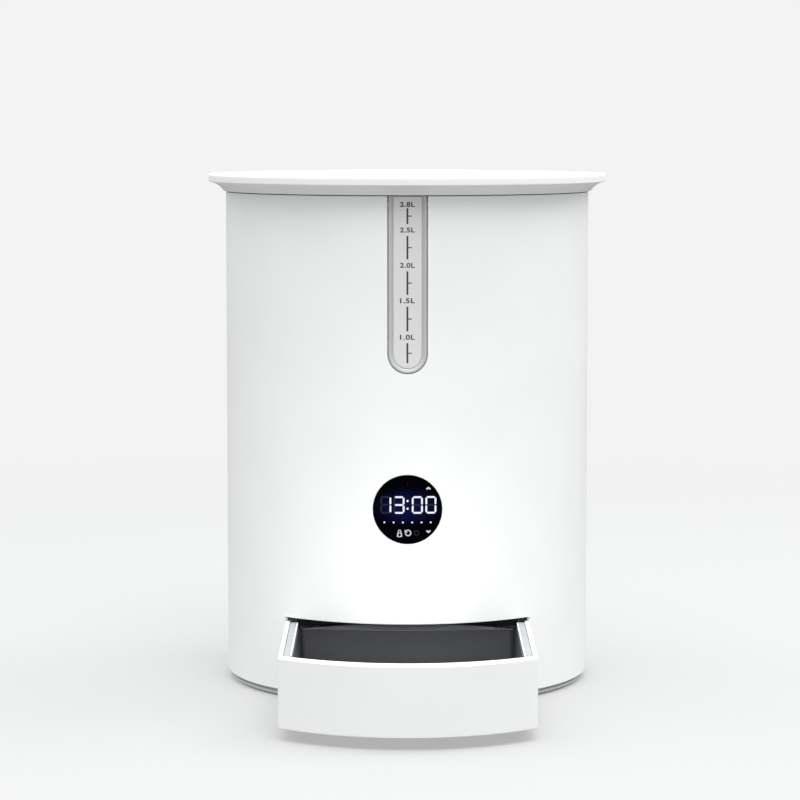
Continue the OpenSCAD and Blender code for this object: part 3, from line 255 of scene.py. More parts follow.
def clear_san():
    """SAN, clear moulded: glassy walls with the faintest blue, and edges that catch the light."""
    tree, place, end = new_material("clear moulded SAN")
    return end(add(tree, "BsdfPrincipled", {
        "Base Color": linear("eef4f7"), "Roughness": 0.04, "IOR": 1.57, "Transmission Weight": 0.92,
        "Normal": grained(tree, place, 30, 0.05)}))


def grey_frame_abs():
    """ABS, moulded and sprayed satin grey: the bezel of the level window."""
    return moulded("satin sprayed ABS grey", "bbbcbd", "c1c2c3", 0.36, 0.35, 0.003, IOR=1.53)


def frosted_pane():
    """Polycarbonate, moulded and frosted on its back: a pale even grey under a smooth gloss face."""
    return moulded("back-frosted polycarbonate", "dddbdc", "e0dedf", 0.3, 0.6, 0.002, IOR=1.58)


def smoked_acrylic():
    """Smoked acrylic with an anti-glare hard coat: a deep black with a navy glow round the lit clock."""
    tree, place, end = new_material("smoked acrylic hard coated")
    middle_z, glow_w, glow_h = display_z + DIGIT_Z - 1, 22, 12
    centred = add(tree, "Mapping", {"Vector": place, "Location": (0, 0, -middle_z * MM)})
    squeezed = add(tree, "VectorMath", {0: centred.outputs["Vector"],
                                        1: (per_mm(glow_w), 0, per_mm(glow_h))}, operation="MULTIPLY")
    reach = add(tree, "VectorMath", {0: squeezed.outputs["Vector"]}, operation="LENGTH")
    glow = add(tree, "MapRange", {"Value": reach.outputs["Value"], "From Min": 0.25, "From Max": 1.0,
                                  "To Min": 1.0, "To Max": 0.0}, interpolation_type="SMOOTHSTEP")
    haze = add(tree, "Mix", {0: glow.outputs["Result"], 6: linear("000003"), 7: linear("0b0f3a")},
               data_type="RGBA")
    return end(add(tree, "BsdfPrincipled", {
        "Base Color": linear("020203"), "Roughness": handled(tree, place, 12, 0.15, 0.05), "IOR": 1.49,
        "Specular IOR Level": 0.015, "Emission Color": haze.outputs[2], "Emission Strength": 1.0}))


def pale_strip():
    """Polypropylene, matt moulded: the cool pale strips beside the bin's mouth."""
    return moulded("matt moulded polypropylene pale", "a0a4a7", "a6aaad", 0.5, 0.6, 0.006, IOR=1.49)


def dark_bin():
    """Polypropylene, moulded dark grey with a satin tool finish: soft wide reflections on its walls."""
    return moulded("satin moulded polypropylene charcoal", "4d4e53", "545559", 0.38, 0.8, 0.01, IOR=1.49)


def dark_duct():
    """ABS, moulded black and matt: the chute and the drawer bay, which swallow the light."""
    return moulded("matt moulded ABS black", "2a2a2d", "303033", 0.6, 0.9, 0.015, IOR=1.53)


def grey_base():
    """ABS, moulded in a coarser tool: the pale base and battery door."""
    return moulded("textured moulded ABS pale grey", "bcbec0", "c3c5c6", 0.55, 0.9, 0.02, IOR=1.53)


def foot_rubber():
    """Thermoplastic rubber, moulded: mid grey, matt and slightly dusty."""
    return moulded("moulded thermoplastic rubber", "8a8a8d", "969698", 0.78, 1.2, 0.03, IOR=1.5)


def seal_silicone():
    """Silicone, moulded and milky: light goes a little way in."""
    return moulded("milky moulded silicone", "d8dddf", "e2e6e8", 0.45, 1.0, 0.006, IOR=1.41,
                   **{"Subsurface Weight": 0.4, "Subsurface Radius": (0.003, 0.003, 0.003)})


def sachet_paper():
    """Spun-bonded fibre paper: white with a fibrous, heat-pressed surface."""
    tree, place, end = new_material("spun-bonded fibre paper")
    dents = add(tree, "TexVoronoi", {"Vector": place, "Scale": per_mm(1.4)}).outputs["Distance"]
    fibres = add(tree, "TexNoise", {"Vector": place, "Scale": per_mm(0.4), "Detail": 4.0})
    height = add(tree, "Math", {0: dents, 1: fibres.outputs["Fac"]}, operation="ADD")
    bump = add(tree, "Bump", {"Height": height.outputs[0], "Distance": 0.12 * MM})
    return end(add(tree, "BsdfPrincipled", {
        "Base Color": drift(tree, place, 0.6, "e3dfd4", "f2efe7"), "Roughness": 0.85,
        "Sheen Weight": 0.3, "Normal": bump.outputs["Normal"]}))


def case_abs():
    """ABS, matt grey: the gearcase."""
    return moulded("matt moulded ABS grey", "8f9193", "989a9c", 0.55, 0.8, 0.015, IOR=1.53)


def gear_acetal():
    """Acetal, moulded: ivory, waxy and smooth."""
    return moulded("moulded acetal ivory", "e6e1d0", "ece8da", 0.32, 0.8, 0.003, IOR=1.48)


def encoder_black():
    """ABS, black satin: the encoder disc, sensor and speaker."""
    return moulded("satin moulded ABS black", "1c1c1e", "242427", 0.4, 0.5, 0.006, IOR=1.53)


def zinc_steel():
    """Zinc-plated steel: pale and faintly blue, with fine turned lines."""
    tree, place, end = new_material("zinc-plated steel")
    turned = add(tree, "TexWave", {"Vector": place, "Scale": per_mm(0.8) / WAVE_SPREAD, "Distortion": 3.0,
                                   "Detail": 2.0}, bands_direction="Z")
    rough = add(tree, "MapRange", {"Value": turned.outputs["Fac"], "To Min": 0.24, "To Max": 0.38})
    return end(add(tree, "BsdfPrincipled", {
        "Base Color": drift(tree, place, 3, "b9bcc0", "cfd1d3"), "Metallic": 1.0,
        "Roughness": rough.outputs["Result"]}))


def turned_brass():
    """Brass, turned: warm yellow with fine rings."""
    tree, place, end = new_material("turned brass")
    rings = add(tree, "TexWave", {"Vector": place, "Scale": per_mm(0.5) / WAVE_SPREAD, "Distortion": 1.0},
                bands_direction="Z")
    rough = add(tree, "MapRange", {"Value": rings.outputs["Fac"], "To Min": 0.22, "To Max": 0.34})
    return end(add(tree, "BsdfPrincipled", {
        "Base Color": drift(tree, place, 2, "c39a4a", "d3ac5e"), "Metallic": 1.0,
        "Roughness": rough.outputs["Result"]}))


def board_laminate():
    """Glass-epoxy board under green solder mask: glossy, with paler copper runs showing through."""
    tree, place, end = new_material("solder-masked glass epoxy")
    runs = add(tree, "TexBrick", {"Vector": place, "Scale": per_mm(3.2), "Mortar Size": 0.06,
                                  "Color1": linear("1c5a36"), "Color2": linear("1f6039"),
                                  "Mortar": linear("2f7d4c")})
    bump = add(tree, "Bump", {"Height": runs.outputs["Fac"], "Distance": 0.03 * MM, "Strength": 0.6})
    return end(add(tree, "BsdfPrincipled", {
        "Base Color": runs.outputs["Color"], "Roughness": 0.3, "IOR": 1.55,
        "Normal": bump.outputs["Normal"]}))


def component_black():
    """Epoxy-moulded packages: dark, matt and slightly grainy."""
    return moulded("epoxy-moulded package black", "232325", "2d2d30", 0.6, 0.3, 0.01, IOR=1.55)


def cell_jacket():
    """Shrink-sleeved dry cell: a glossy plain dark blue film over the steel can."""
    return moulded("shrink-sleeved film dark blue", "1e2f45", "243852", 0.22, 4.0, 0.03, IOR=1.53)


def cable_jacket():
    """Soft PVC wire sleeve: dark grey, dull and slightly rippled."""
    return moulded("extruded soft PVC grey", "3c3d40", "47484c", 0.5, 2.0, 0.04, IOR=1.53)


def lit_segment(name, low, high, strength):
    """A lit mark behind the glass: it shines with a faint cold edge, and reflects little."""
    tree, place, end = new_material(name)
    return end(add(tree, "BsdfPrincipled", {
        "Base Color": linear("101014"), "Roughness": 0.3, "Specular IOR Level": 0.1,
        "Emission Color": drift(tree, place, 0.8, low, high), "Emission Strength": strength}))


def printed_ink():
    """Pad-printed ink: dark warm grey, matt, with a slightly uneven lay."""
    return moulded("pad-printed ink grey", "353537", "3e3e40", 0.5, 0.2, 0.002, IOR=1.5)


# ---------------------------------------------------------------- modelling helpers

def arc(cx, cy, r, start, end, steps):
    """Points along an arc from one angle to another, in degrees."""
    angles = [radians(start + (end - start) * i / steps) for i in range(steps + 1)]
    return [(cx + r * cos(a), cy + r * sin(a)) for a in angles]


def ring(cx, cy, r, steps):
    """Points round a whole circle."""
    return arc(cx, cy, r, 0, 360, steps)[:-1]


def oblong(x0, y0, x1, y1):
    """The corners of an upright rectangle."""
    return [(x0, y0), (x1, y0), (x1, y1), (x0, y1)]


def polar(r, angle):
    """A place on the ground at a radius and an angle in degrees."""
    return Vector((r * cos(radians(angle)), r * sin(radians(angle)), 0))


def moved(bm, place):
    """The bmesh moved by a vector."""
    bmesh.ops.translate(bm, vec=place, verts=bm.verts[:])
    return bm


def spun(bm, angle, axis):
    """The bmesh turned about an axis of the frame, by an angle in degrees."""
    turn = Matrix.Rotation(radians(angle), 3, axis)
    bmesh.ops.rotate(bm, cent=(0, 0, 0), matrix=turn, verts=bm.verts[:])
    return bm


def slab(loops, low, high):
    """A slab from z = low to high: the first outline is its edge and the others are holes in it."""
    bm = bmesh.new()
    for loop in loops:
        corners = [bm.verts.new((x, y, low)) for x, y in loop]
        for first, second in zip(corners, corners[1:] + corners[:1]):
            bm.edges.new((first, second))
    bmesh.ops.triangle_fill(bm, use_beauty=False, use_dissolve=True, edges=bm.edges[:], normal=(0, 0, 1))
    raised = bmesh.ops.extrude_face_region(bm, geom=bm.faces[:], use_keep_orig=True)
    top = [v for v in raised["geom"] if isinstance(v, bmesh.types.BMVert)]
    bmesh.ops.translate(bm, vec=(0, 0, high - low), verts=top)
    bmesh.ops.recalc_face_normals(bm, faces=bm.faces[:])
    return bm


def plate(loops, front, back):
    """A slab that faces -Y: its outlines are in x and z, and it lies between two depths along +Y."""
    return moved(spun(slab(loops, 0, back - front), 90, "X"), (0, back, 0))


def turned(outline, steps=192):
    """A closed outline in radius and height, turned round the Z axis."""
    bm = bmesh.new()
    corners = [bm.verts.new((r, 0, z)) for r, z in outline]
    edges = [bm.edges.new(pair) for pair in zip(corners, corners[1:] + corners[:1])
             if max(abs(pair[0].co.x), abs(pair[1].co.x)) > 1e-6]
    bmesh.ops.spin(bm, geom=corners + edges, cent=(0, 0, 0), axis=(0, 0, 1), angle=2 * pi, steps=steps,
                   use_merge=True)
    bmesh.ops.remove_doubles(bm, verts=bm.verts[:], dist=WELD)
    bmesh.ops.recalc_face_normals(bm, faces=bm.faces[:])
    return bm


def from_axis(place):
    """How far a place lies from the Z axis."""
    return hypot(place.x, place.y)


def above(z):
    """Picks what lies at a height or over it."""
    return lambda place: place.z > z - NEAR


def below(z):
    """Picks what lies at a height or under it."""
    return lambda place: place.z < z + NEAR


def in_front(depth):
    """Picks what lies at a depth or in front of it."""
    return lambda place: place.y < depth + NEAR


def round_edges(bm, radius, pick, segments=3):
    """Rounds the sharp outer edges whose middle pick() accepts."""
    sharp = [e for e in bm.edges if len(e.link_faces) == 2 and e.is_convex
             and e.calc_face_angle() > radians(40) and pick((e.verts[0].co + e.verts[1].co) / 2)]
    bmesh.ops.bevel(bm, geom=sharp, offset=radius, offset_type="OFFSET", segments=segments, profile=0.5,
                    affect="EDGES", clamp_overlap=False, material=-1)


def along(x):
    """How far round the housing's front a point lies that is seen at x from the front."""
    return body_r * asin(x / body_r)


def bend(bm, pitch=2.0):
    """Bends a plate round the housing: x runs along the outside of its wall, and y is the depth behind
    that. The plate is first cut upright every few degrees."""
    step = body_r * radians(pitch)
    reach = [v.co.x for v in bm.verts]
    for i in range(ceil(min(reach) / step), floor(max(reach) / step) + 1):
        bmesh.ops.bisect_plane(bm, geom=bm.verts[:] + bm.edges[:] + bm.faces[:], dist=1e-4,
                               plane_co=(i * step, 0, 0), plane_no=(1, 0, 0))
    for v in bm.verts:
        angle, depth = v.co.x / body_r, body_r - v.co.y
        v.co = (depth * sin(angle), -depth * cos(angle), v.co.z)
    bmesh.ops.remove_doubles(bm, verts=bm.verts[:], dist=WELD)
    return bm


def combine(block, others, operation):
    """The block and the others as one solid by a boolean operation."""
    temporary = []
    for bm in (block, *others):
        mesh = bpy.data.meshes.new("temporary")
        bm.to_mesh(mesh)
        bm.free()
        temporary.append(bpy.data.objects.new("temporary", mesh))
        scene.collection.objects.link(temporary[-1])
    for other in temporary[1:]:
        cut = temporary[0].modifiers.new("cut", "BOOLEAN")
        cut.operation, cut.solver, cut.object = operation, "EXACT", other
    result = bmesh.new()
    result.from_object(temporary[0], bpy.context.evaluated_depsgraph_get())
    for obj in temporary:
        mesh = obj.data
        bpy.data.objects.remove(obj)
        bpy.data.meshes.remove(mesh)
    bmesh.ops.remove_doubles(result, verts=result.verts[:], dist=WELD)
    bmesh.ops.dissolve_limit(result, angle_limit=radians(0.3), verts=result.verts[:],
                             edges=result.edges[:])
    return result


def carve(block, *cutters):
    """The block with the cutters taken out of it."""
    return combine(block, cutters, "DIFFERENCE")


def joined(*parts):
    """Several bmeshes as one."""
    whole = bmesh.new()
    for part in parts:
        mesh = bpy.data.meshes.new("temporary")
        part.to_mesh(mesh)
        part.free()
        whole.from_mesh(mesh)
        bpy.data.meshes.remove(mesh)
    return whole


def piece(name, bm, material, body, replaces=(), sharp=35):
    """Finishes a bmesh as a piece on its body, in metres, and smooth but for its sharp edges."""
    bmesh.ops.scale(bm, vec=(MM, MM, MM), verts=bm.verts[:])
    mesh = bpy.data.meshes.new(name)
    bm.to_mesh(mesh)
    bm.free()
    mesh.materials.append(material)
    mesh.shade_smooth()
    mesh.set_sharp_from_angle(angle=radians(sharp))
    obj = bpy.data.objects.new(name, mesh)
    scene.collection.objects.link(obj)
    weighted = obj.modifiers.new("weighted normals", "WEIGHTED_NORMAL")
    weighted.keep_sharp = True
    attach(obj, body)
    if replaces:
        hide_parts(*replaces)
    return obj


# ---------------------------------------------------------------- lid

def boss(low, high, hole_top):
    """An upright screw boss on the Z axis, with a pilot hole and a lead-in from below."""
    lead, edge = 0.4, 0.3
    return turned([(pilot_r + lead, low), (pilot_r, low + lead), (pilot_r, hole_top), (0, hole_top),
                   (0, high), (post_r, high), (post_r, low + edge), (post_r - edge, low)], 24)


def lid_shell():
    """The lid's flat top with its upright rim, the cove under the rim, the foot that stands on the housing,
    and the four screw posts inside."""
    foot_z, top_z = lid_low.z, lid_high.z
    out, up = lid_r - lid_foot_r, lid_rim_z - foot_z
    span = hypot(out, up)
    rise = sqrt(cove_r ** 2 - (span / 2) ** 2)
    cx = (lid_foot_r + lid_r) / 2 + up / span * rise
    cz = (foot_z + lid_rim_z) / 2 - out / span * rise
    start = degrees(atan2(foot_z - cz, lid_foot_r - cx))
    end = degrees(atan2(lid_rim_z - cz, lid_r - cx))
    outline = [(lid_inner_r, foot_z)] + arc(cx, cz, cove_r, start, end, 12)
    outline += [(lid_r, top_z), (0, top_z), (0, lid_ceiling), (lid_hollow_r, lid_ceiling)]
    outline += [(lid_hollow_r, lid_ceiling - lid_hollow_edge), (lid_inner_r, foot_z + lid_wall)]
    bm = turned(outline)
    round_edges(bm, 0.9, above(top_z))
    round_edges(bm, 0.35, lambda p: from_axis(p) > body_r - 2 and abs(p.z - lid_rim_z) < NEAR)
    round_edges(bm, 0.7, lambda p: from_axis(p) > body_r and p.z < foot_z + NEAR)
    posts = [moved(boss(liner_top, lid_ceiling + sink, lid_ceiling - 1), polar(lid_post_r, angle))
             for angle in FOUR_SCREWS]
    return joined(bm, *posts)


# ---------------------------------------------------------------- housing, window and display

def slot_outline(half, low, top):
    """An upright slot on the housing's front: straight sides and a round lower end."""
    lower = [(along(x), z) for x, z in arc(0, low + half, half, 180, 360, 24)]
    return [(-along(half), top)] + lower + [(along(half), top)]


def disc_outline(r, steps):
    """A circle round the display's middle, as it is seen from the front."""
    return [(along(x), z) for x, z in ring(0, display_z, r, steps)]


def grille_slots(rear):
    """The seven slots before the speaker, shorter toward the top and bottom, with round ends."""
    r, widest, taper, pitch = 0.9, 12.96, 1.6, 3.6
    slots = []
    for row in range(-3, 4):
        half, z = widest - taper * abs(row) - r, speaker_z + pitch * row
        slots.append(arc(rear + half, z, r, -90, 90, 8) + arc(rear - half, z, r, 90, 270, 8))
    return slots


def housing_wall():
    """The round wall with its window slot, display hole, drawer opening, speaker grille and inlet."""
    seam = body_r * radians(100)
    far = 2 * pi * body_r - seam
    rear = pi * body_r
    wall_top = body_top - 0.3
    side = along(opening_half)
    inlet_half, inlet_low, inlet_high = 5.8, 13, 19
    edge = [(-seam, wall_top), (-seam, body_low), (-side, body_low), (-side, opening_top),
            (side, opening_top), (side, body_low), (far, body_low), (far, wall_top)]
    window = slot_outline(slot_half, slot_low, wall_top)
    inlet = oblong(rear - inlet_half, inlet_low, rear + inlet_half, inlet_high)
    bm = plate([edge + window[::-1], disc_outline(glass_hole_r, 64), *grille_slots(rear), inlet],
               0, body_wall)
    # The plate's two ends go, because they meet at the seam, where the bend merges them.
    ends = [f for f in bm.faces if abs(f.normal.x) > 0.9
            and min(abs(f.calc_center_median().x + seam), abs(f.calc_center_median().x - far)) < 0.01]
    bmesh.ops.delete(bm, geom=ends, context="FACES")
    round_edges(bm, 0.4, lambda p: p.y < NEAR and (p.z > wall_top - NEAR or p.z < body_low + NEAR))
    round_edges(bm, 0.25, lambda p: body_low + NEAR < p.z < wall_top - NEAR)
    return bend(bm)


def rim_ledge():
    """The ledge inside the housing's top that the hopper hangs from."""
    r_out, r_in, under = inner_r + 0.5, inner_r - 3, ledge_z - 2
    bm = turned([(r_out, ledge_z), (r_out, under), (r_in, under), (r_in, ledge_z)])
    round_edges(bm, 0.3, lambda p: from_axis(p) < inner_r - 2)
    return bm


def rib(width, r_in, r_out, low, high, angle):
    """An upright rib from one radius to another at an angle."""
    return spun(slab([oblong(r_in, -width / 2, r_out, width / 2)], low, high), angle, "Z")


def board_posts(node, short, way):
    """The posts between a board and the wall before it (way is -1) or behind it (1), in from its corners.
    They are this much short of the wall's middle, which is the farthest from the board."""
    low, high = box_mm(node)
    face = low.y if way < 0 else high.y
    posts = []
    for x in (low.x + board_inset, high.x - board_inset):
        for z in (low.z + board_inset, high.z - board_inset):
            post = spun(boss(0, inner_r - short - abs(face), pilot_depth), -90 * way, "X")
            posts.append(moved(post, (x, face, z)))
    return posts


def housing_bosses():
    """What the housing carries inside: bosses with ribs for the hopper and the base, posts for the boards
    and the speaker's cup."""
    parts = []
    low, high, hole_top = ledge_z - 16, ledge_z - 1.8, ledge_z - 5
    for angle in FOUR_SCREWS:
        parts.append(moved(boss(low, high, hole_top), polar(hopper_boss_r, angle)))
        parts.append(rib(2 * post_r - 1, hopper_boss_r + 1, inner_r + sink, low, high, angle))
    low, high, hole_top = base_pad_z, base_pad_z + 30, base_pad_z + 13
    for angle in BASE_SCREWS:
        parts.append(moved(boss(low, high, hole_top), polar(base_boss_r, angle)))
        parts.append(rib(2, base_boss_r + post_r - 1, inner_r + 2 * sink, low + 5, high - 1, angle))
    parts += board_posts("display_board", 0.4, -1)
    parts += board_posts("main_board", 3, 1)
    cup_in, cup_out, seat, length = speaker_r - 2, speaker_r + 2, 4, 9.4
    cup = turned([(cup_in, seat), (speaker_r + snug, seat), (speaker_r + snug, 0), (cup_out, 0),
                  (cup_out, length), (cup_in, length)], 64)
    parts.append(moved(spun(cup, -90, "X"), (0, inner_r - 9, speaker_z)))
    return joined(*parts)


def inside_slot(place, half, low):
    """Whether a place on the flat front lies inside a slot of that half-width and lower end."""
    if abs(place.x) > along(half):
        return False
    under = low + half - place.z
    return under < 0 or hypot(place.x, under) < half


def window_frame():
    """The bezel: a raised rim that slopes down to the pane, on a wider flange behind the wall."""
    shy = 0.5
    inside = pane_half + hair, pane_low.z - hair
    outer = slot_outline(frame_half - shy, pane_low.z - border + shy, frame_top)
    bm = plate([outer + slot_outline(*inside, frame_top)[::-1]], frame_front, body_wall)
    round_edges(bm, 1.5, lambda p: abs(p.y - frame_front) < WELD
                and inside_slot(p, pane_half + 0.3, pane_low.z - 0.3), 1)
    round_edges(bm, 0.15, in_front(frame_front))
    flange_top = ledge_z - 3
    outer = slot_outline(slot_half + flange_w, slot_low - flange_w, flange_top)
    flange = plate([outer + slot_outline(*inside, flange_top)[::-1]], body_wall + hair, body_wall + 1.4)
    return bend(joined(bm, flange))


def window_pane():
    """The frosted pane, set back in its bezel."""
    bm = plate([slot_outline(pane_half, pane_low.z, pane_high.z)], pane_front, body_wall)
    round_edges(bm, 0.25, in_front(pane_front))
    return bend(bm)


def display_glass():
    """The round glass, flush in the housing's hole, on a wider flange behind it."""
    front = plate([disc_outline(glass_r, 96)], glass_front, body_wall + 0.6)
    round_edges(front, 0.3, in_front(glass_front))
    flange = plate([disc_outline(glass_flange_r, 96)], body_wall + 0.1, body_wall + 1.5)
    return bend(joined(front, flange))


# ---------------------------------------------------------------- drawer and bin

def arc_front(half, r, centre_y, rear, corner, steps=48):
    """From above, a rectangle whose front edge is an arc about y = centre_y, with round front corners."""
    side = half - corner
    corner_y = centre_y - sqrt((r - corner) ** 2 - side ** 2)
    lean = degrees(asin(side / (r - corner)))
    left = arc(-side, corner_y, corner, 180, 270 - lean, 8)
    front = arc(0, centre_y, r, -90 - lean, -90 + lean, steps)
    right = arc(side, corner_y, corner, -90 + lean, 0, 8)
    return [(-half, rear)] + left + front[1:-1] + right + [(half, rear)]


def bin_pocket(grow):
    """The bin's outline from above, grown by a clearance."""
    wall = bin_wall + grow
    return arc_front(bin_half + wall, bin_arc_r + wall, bin_arc_y, bin_rear + wall, mouth_corner + wall)


def strip_outlines(inner, outer, front, rear):
    """From above, a strip on each side of the bin's mouth, between two distances from the middle, with a
    round front end."""
    r = (outer - inner) / 2
    for x in (-inner - r, inner + r):
        yield [(x - r, rear)] + arc(x, front + r, r, 180, 360, 12) + [(x + r, rear)]


def drawer_shell():
    """The drawer: a curved front, a pocket for the bin, grooves for the strips, a notch behind the bin's low
    rear wall and a hollow under the front."""
    top, bottom, over = drawer_high.z, drawer_low.z, drawer_high.z + PAST
    block = slab([arc_front(drawer_half, body_r, drawer_arc_y, drawer_rear, drawer_corner, 72)], bottom, top)
    round_edges(block, 0.6, lambda p: p.z > top - NEAR or p.z < bottom + NEAR or p.y > drawer_rear - NEAR)
    pocket = slab([bin_pocket(bin_clear)], bin_low.z, over)
    grooves = [slab([outline], strip_low.z, over) for outline in strip_outlines(
        lip_out, strip_edge + groove, strip_low.y - bin_clear, drawer_rear - drawer_wall)]
    notch_half = bin_half + bin_wall + bin_clear
    notch = slab([oblong(-notch_half, bin_rear, notch_half, drawer_rear + PAST)], bin_rear_top, over)
    hollow = arc_front(drawer_half - drawer_wall, body_r - drawer_wall, drawer_arc_y, strip_low.y,
                       drawer_corner)
    under = slab([hollow], bottom - BARELY_PAST, top - drawer_wall)
    core = slab([bin_pocket(bin_clear + drawer_wall)], bottom - 2 * BARELY_PAST, top)
    bm = carve(block, pocket, *grooves, notch, carve(under, core))
    round_edges(bm, 0.15, above(top))
    return bm


def strip_pieces(inner, outer, front, low):
    """A piece on each side of the bin's mouth, flush with the drawer's top."""
    both = []
    for outline in strip_outlines(inner, outer, front, strip_high.y):
        bm = slab([outline], low, strip_high.z)
        round_edges(bm, 0.2, above(strip_high.z))
        both.append(bm)
    return joined(*both)


def strips():
    """The two pale strips beside the bin's mouth."""
    return strip_pieces(lip_out + 0.1, strip_edge, strip_low.y + 0.7, strip_low.z)


def mouth_lips():
    """The white lip on the inner side of each strip, with a shadow gap between it and the bin's rim."""
    return strip_pieces(lip_in, lip_out, strip_low.y, strip_high.z - 1.4)


def along_x(bm):
    """Turns a slab whose outline is in y and z, so that it runs along X."""
    turn = Matrix(((0, 0, 1, 0), (1, 0, 0, 0), (0, 1, 0, 0), (0, 0, 0, 1)))
    bmesh.ops.transform(bm, matrix=turn, verts=bm.verts[:])
    return bm


def bin_bead():
    """The bead along the rear wall's rim: arched on top, and leaning back toward the wall."""
    low, crest, flatness, out, lean = bin_rear_top - 2.1, bin_rear_top + 2.5, 1400, 1.5, 0.2
    arch = [(x, crest - x * x / flatness) for x in (bin_half * i / 12 for i in range(-12, 13))]
    bm = plate([[(-bin_half, low + 0.7)] + arch + [(bin_half, low + 0.7), (0, low)]],
               bin_rear - out, bin_rear + bin_wall)
    for vert in bm.verts:
        if vert.co.y < bin_rear:
            vert.co.y += max(0, vert.co.z - low) * lean
    round_edges(bm, 0.4, lambda p: p.y < bin_rear - NEAR)
    return bm


def food_bin():
    """The bin: thin dark walls with a moulding draft, a rounded floor, a rebate round the rim, and a rear
    wall that is lower than the sides and carries a bead."""
    floor_z, top, rim_z = bin_low.z, bin_high.z, strip_low.z
    rim_t, rim_h = 0.9, 3
    block = slab([bin_pocket(0)], floor_z, rim_z)
    cavity = slab([arc_front(bin_half, bin_arc_r, bin_arc_y, bin_rear, mouth_corner)],
                  floor_z + bin_wall, top + PAST)
    draft = 0.985
    centre = Vector((0, (bin_front + bin_rear) / 2, 0))
    bmesh.ops.scale(cavity, vec=(draft, draft, 1), space=Matrix.Translation(-centre),
                    verts=[v for v in cavity.verts if v.co.z < top])
    round_edges(cavity, 2.5, lambda p: p.y > bin_rear - 3 and floor_z + 5 < p.z < top)
    round_edges(cavity, 3.0, below(floor_z + bin_wall))
    fall = along_x(slab([[(strip_high.y, rim_z + PAST), (strip_high.y, rim_z), (bin_rear, bin_rear_top),
                          (bin_rear + PAST, bin_rear_top), (bin_rear + PAST, rim_z + PAST)]],
                        -bin_half - PAST, bin_half + PAST))
    rebate = slab([bin_pocket(1), bin_pocket(rim_t - bin_wall)[::-1]], rim_z - rim_h, top + PAST)
    bm = carve(block, cavity, fall, rebate)
    round_edges(bm, 0.3, above(rim_z))
    return combine(bm, [bin_bead()], "UNION")


# ---------------------------------------------------------------- marks

MARK_T = 0.08    # how thick a mark is
STANDS = 0.03    # how far it stands out of its face

DIGIT_X = (-12.0, -4.7, 5.4, 12.9)
DIGIT_W, DIGIT_H, STROKE = 6.1, 9.7, 1.0
DIGIT_Z = 2.6
TIME = "1300"
SEGMENTS = {"0": "abcdef", "1": "bc", "3": "abcdg"}


def label(words, width, height, x, z):
    """Plain lettering, a little spaced and a little bold, of a width and height and centred at x and z."""
    curve = bpy.data.curves.new("label", "FONT")
    curve.body, curve.size = words, height
    curve.space_character, curve.offset = 1.1, 0.03 * height
    curve.extrude = MARK_T / 2
    obj = bpy.data.objects.new("label", curve)
    scene.collection.objects.link(obj)
    mesh = bpy.data.meshes.new_from_object(obj.evaluated_get(bpy.context.evaluated_depsgraph_get()))
    bm = bmesh.new()
    bm.from_mesh(mesh)
    bpy.data.objects.remove(obj)
    bpy.data.curves.remove(curve)
    bpy.data.meshes.remove(mesh)
    bmesh.ops.remove_doubles(bm, verts=bm.verts[:], dist=1e-4)
    low, high = [[pick(v.co[i] for v in bm.verts) for i in (0, 1)] for pick in (min, max)]
    moved(bm, (-(low[0] + high[0]) / 2, -(low[1] + high[1]) / 2, 0))
    stretch = (width / (high[0] - low[0]), height / (high[1] - low[1]), 1)
    bmesh.ops.scale(bm, vec=stretch, verts=bm.verts[:])
    return moved(spun(bm, 90, "X"), (x, MARK_T / 2, z))


def printed(marks, front):
    """Sets flat marks on the round front, standing a little out of a face at that depth."""
    return bend(moved(joined(*marks), (0, front - STANDS, 0)), 0.5)


def mark(loops):
    """A thin flat mark from outlines in x and z."""
    return plate(loops, 0, MARK_T)


def level_marks():
    """The scale on the pane: litre figures, and between them upright bars with a tick halfway."""
    x, figure_w, figure_h = -0.1, 8.2, 2.8
    half_bar, half_tick, tick_w = 0.5, 0.3, 1.9
    first_gap, gap, lowest = 2.0, 3.25, 191.3
    levels = {"2.8L": 278.2, "2.5L": 264.3, "2.0L": 245.0, "1.5L": 225.6, "1.0L": 205.6}
    marks = [label(words, figure_w, figure_h, x, z) for words, z in levels.items()]
    first, *others = levels.values()
    starts = [first - first_gap] + [z - gap for z in others]
    ends = [z + gap for z in others] + [lowest]
    for top, low in zip(starts, ends):
        level = (top + low) / 2
        side = x + half_bar
        marks.append(mark([oblong(x - half_bar, low, side, top)]))
        marks.append(mark([oblong(side, level - half_tick, side + tick_w, level + half_tick)]))
    return printed(marks, pane_front)


def segment(x, z, length, upright):
    """One bar of a digit, with pointed ends."""
    half, tip = STROKE / 2, length / 2
    shape = [(-tip, 0), (-tip + half, -half), (tip - half, -half), (tip, 0), (tip - half, half),
             (-tip + half, half)]
    if upright:
        shape = [(-b, a) for a, b in shape]
    return mark([[(x + a, z + b) for a, b in shape]])


def digit(x, names):
    """The named bars of a seven-bar digit: a is the top one, then clockwise, and g is the middle one."""
    w, h, gap = (DIGIT_W - STROKE) / 2, (DIGIT_H - STROKE) / 4, 0.3
    wide, tall = 2 * w - gap, 2 * h - gap
    places = {"a": (0, 2 * h, wide, False), "b": (w, h, tall, True), "c": (w, -h, tall, True),
              "d": (0, -2 * h, wide, False), "e": (-w, -h, tall, True), "f": (-w, h, tall, True),
              "g": (0, 0, wide, False)}
    return [segment(x + places[n][0], DIGIT_Z + places[n][1], *places[n][2:]) for n in names]


def dot(x, z, r):
    """A small round mark."""
    return mark([ring(x, z, r, 20)])


def on_glass(marks):
    """Marks drawn about the display's middle, set on its glass."""
    return printed([moved(bm, (0, 0, display_z)) for bm in marks], glass_front)


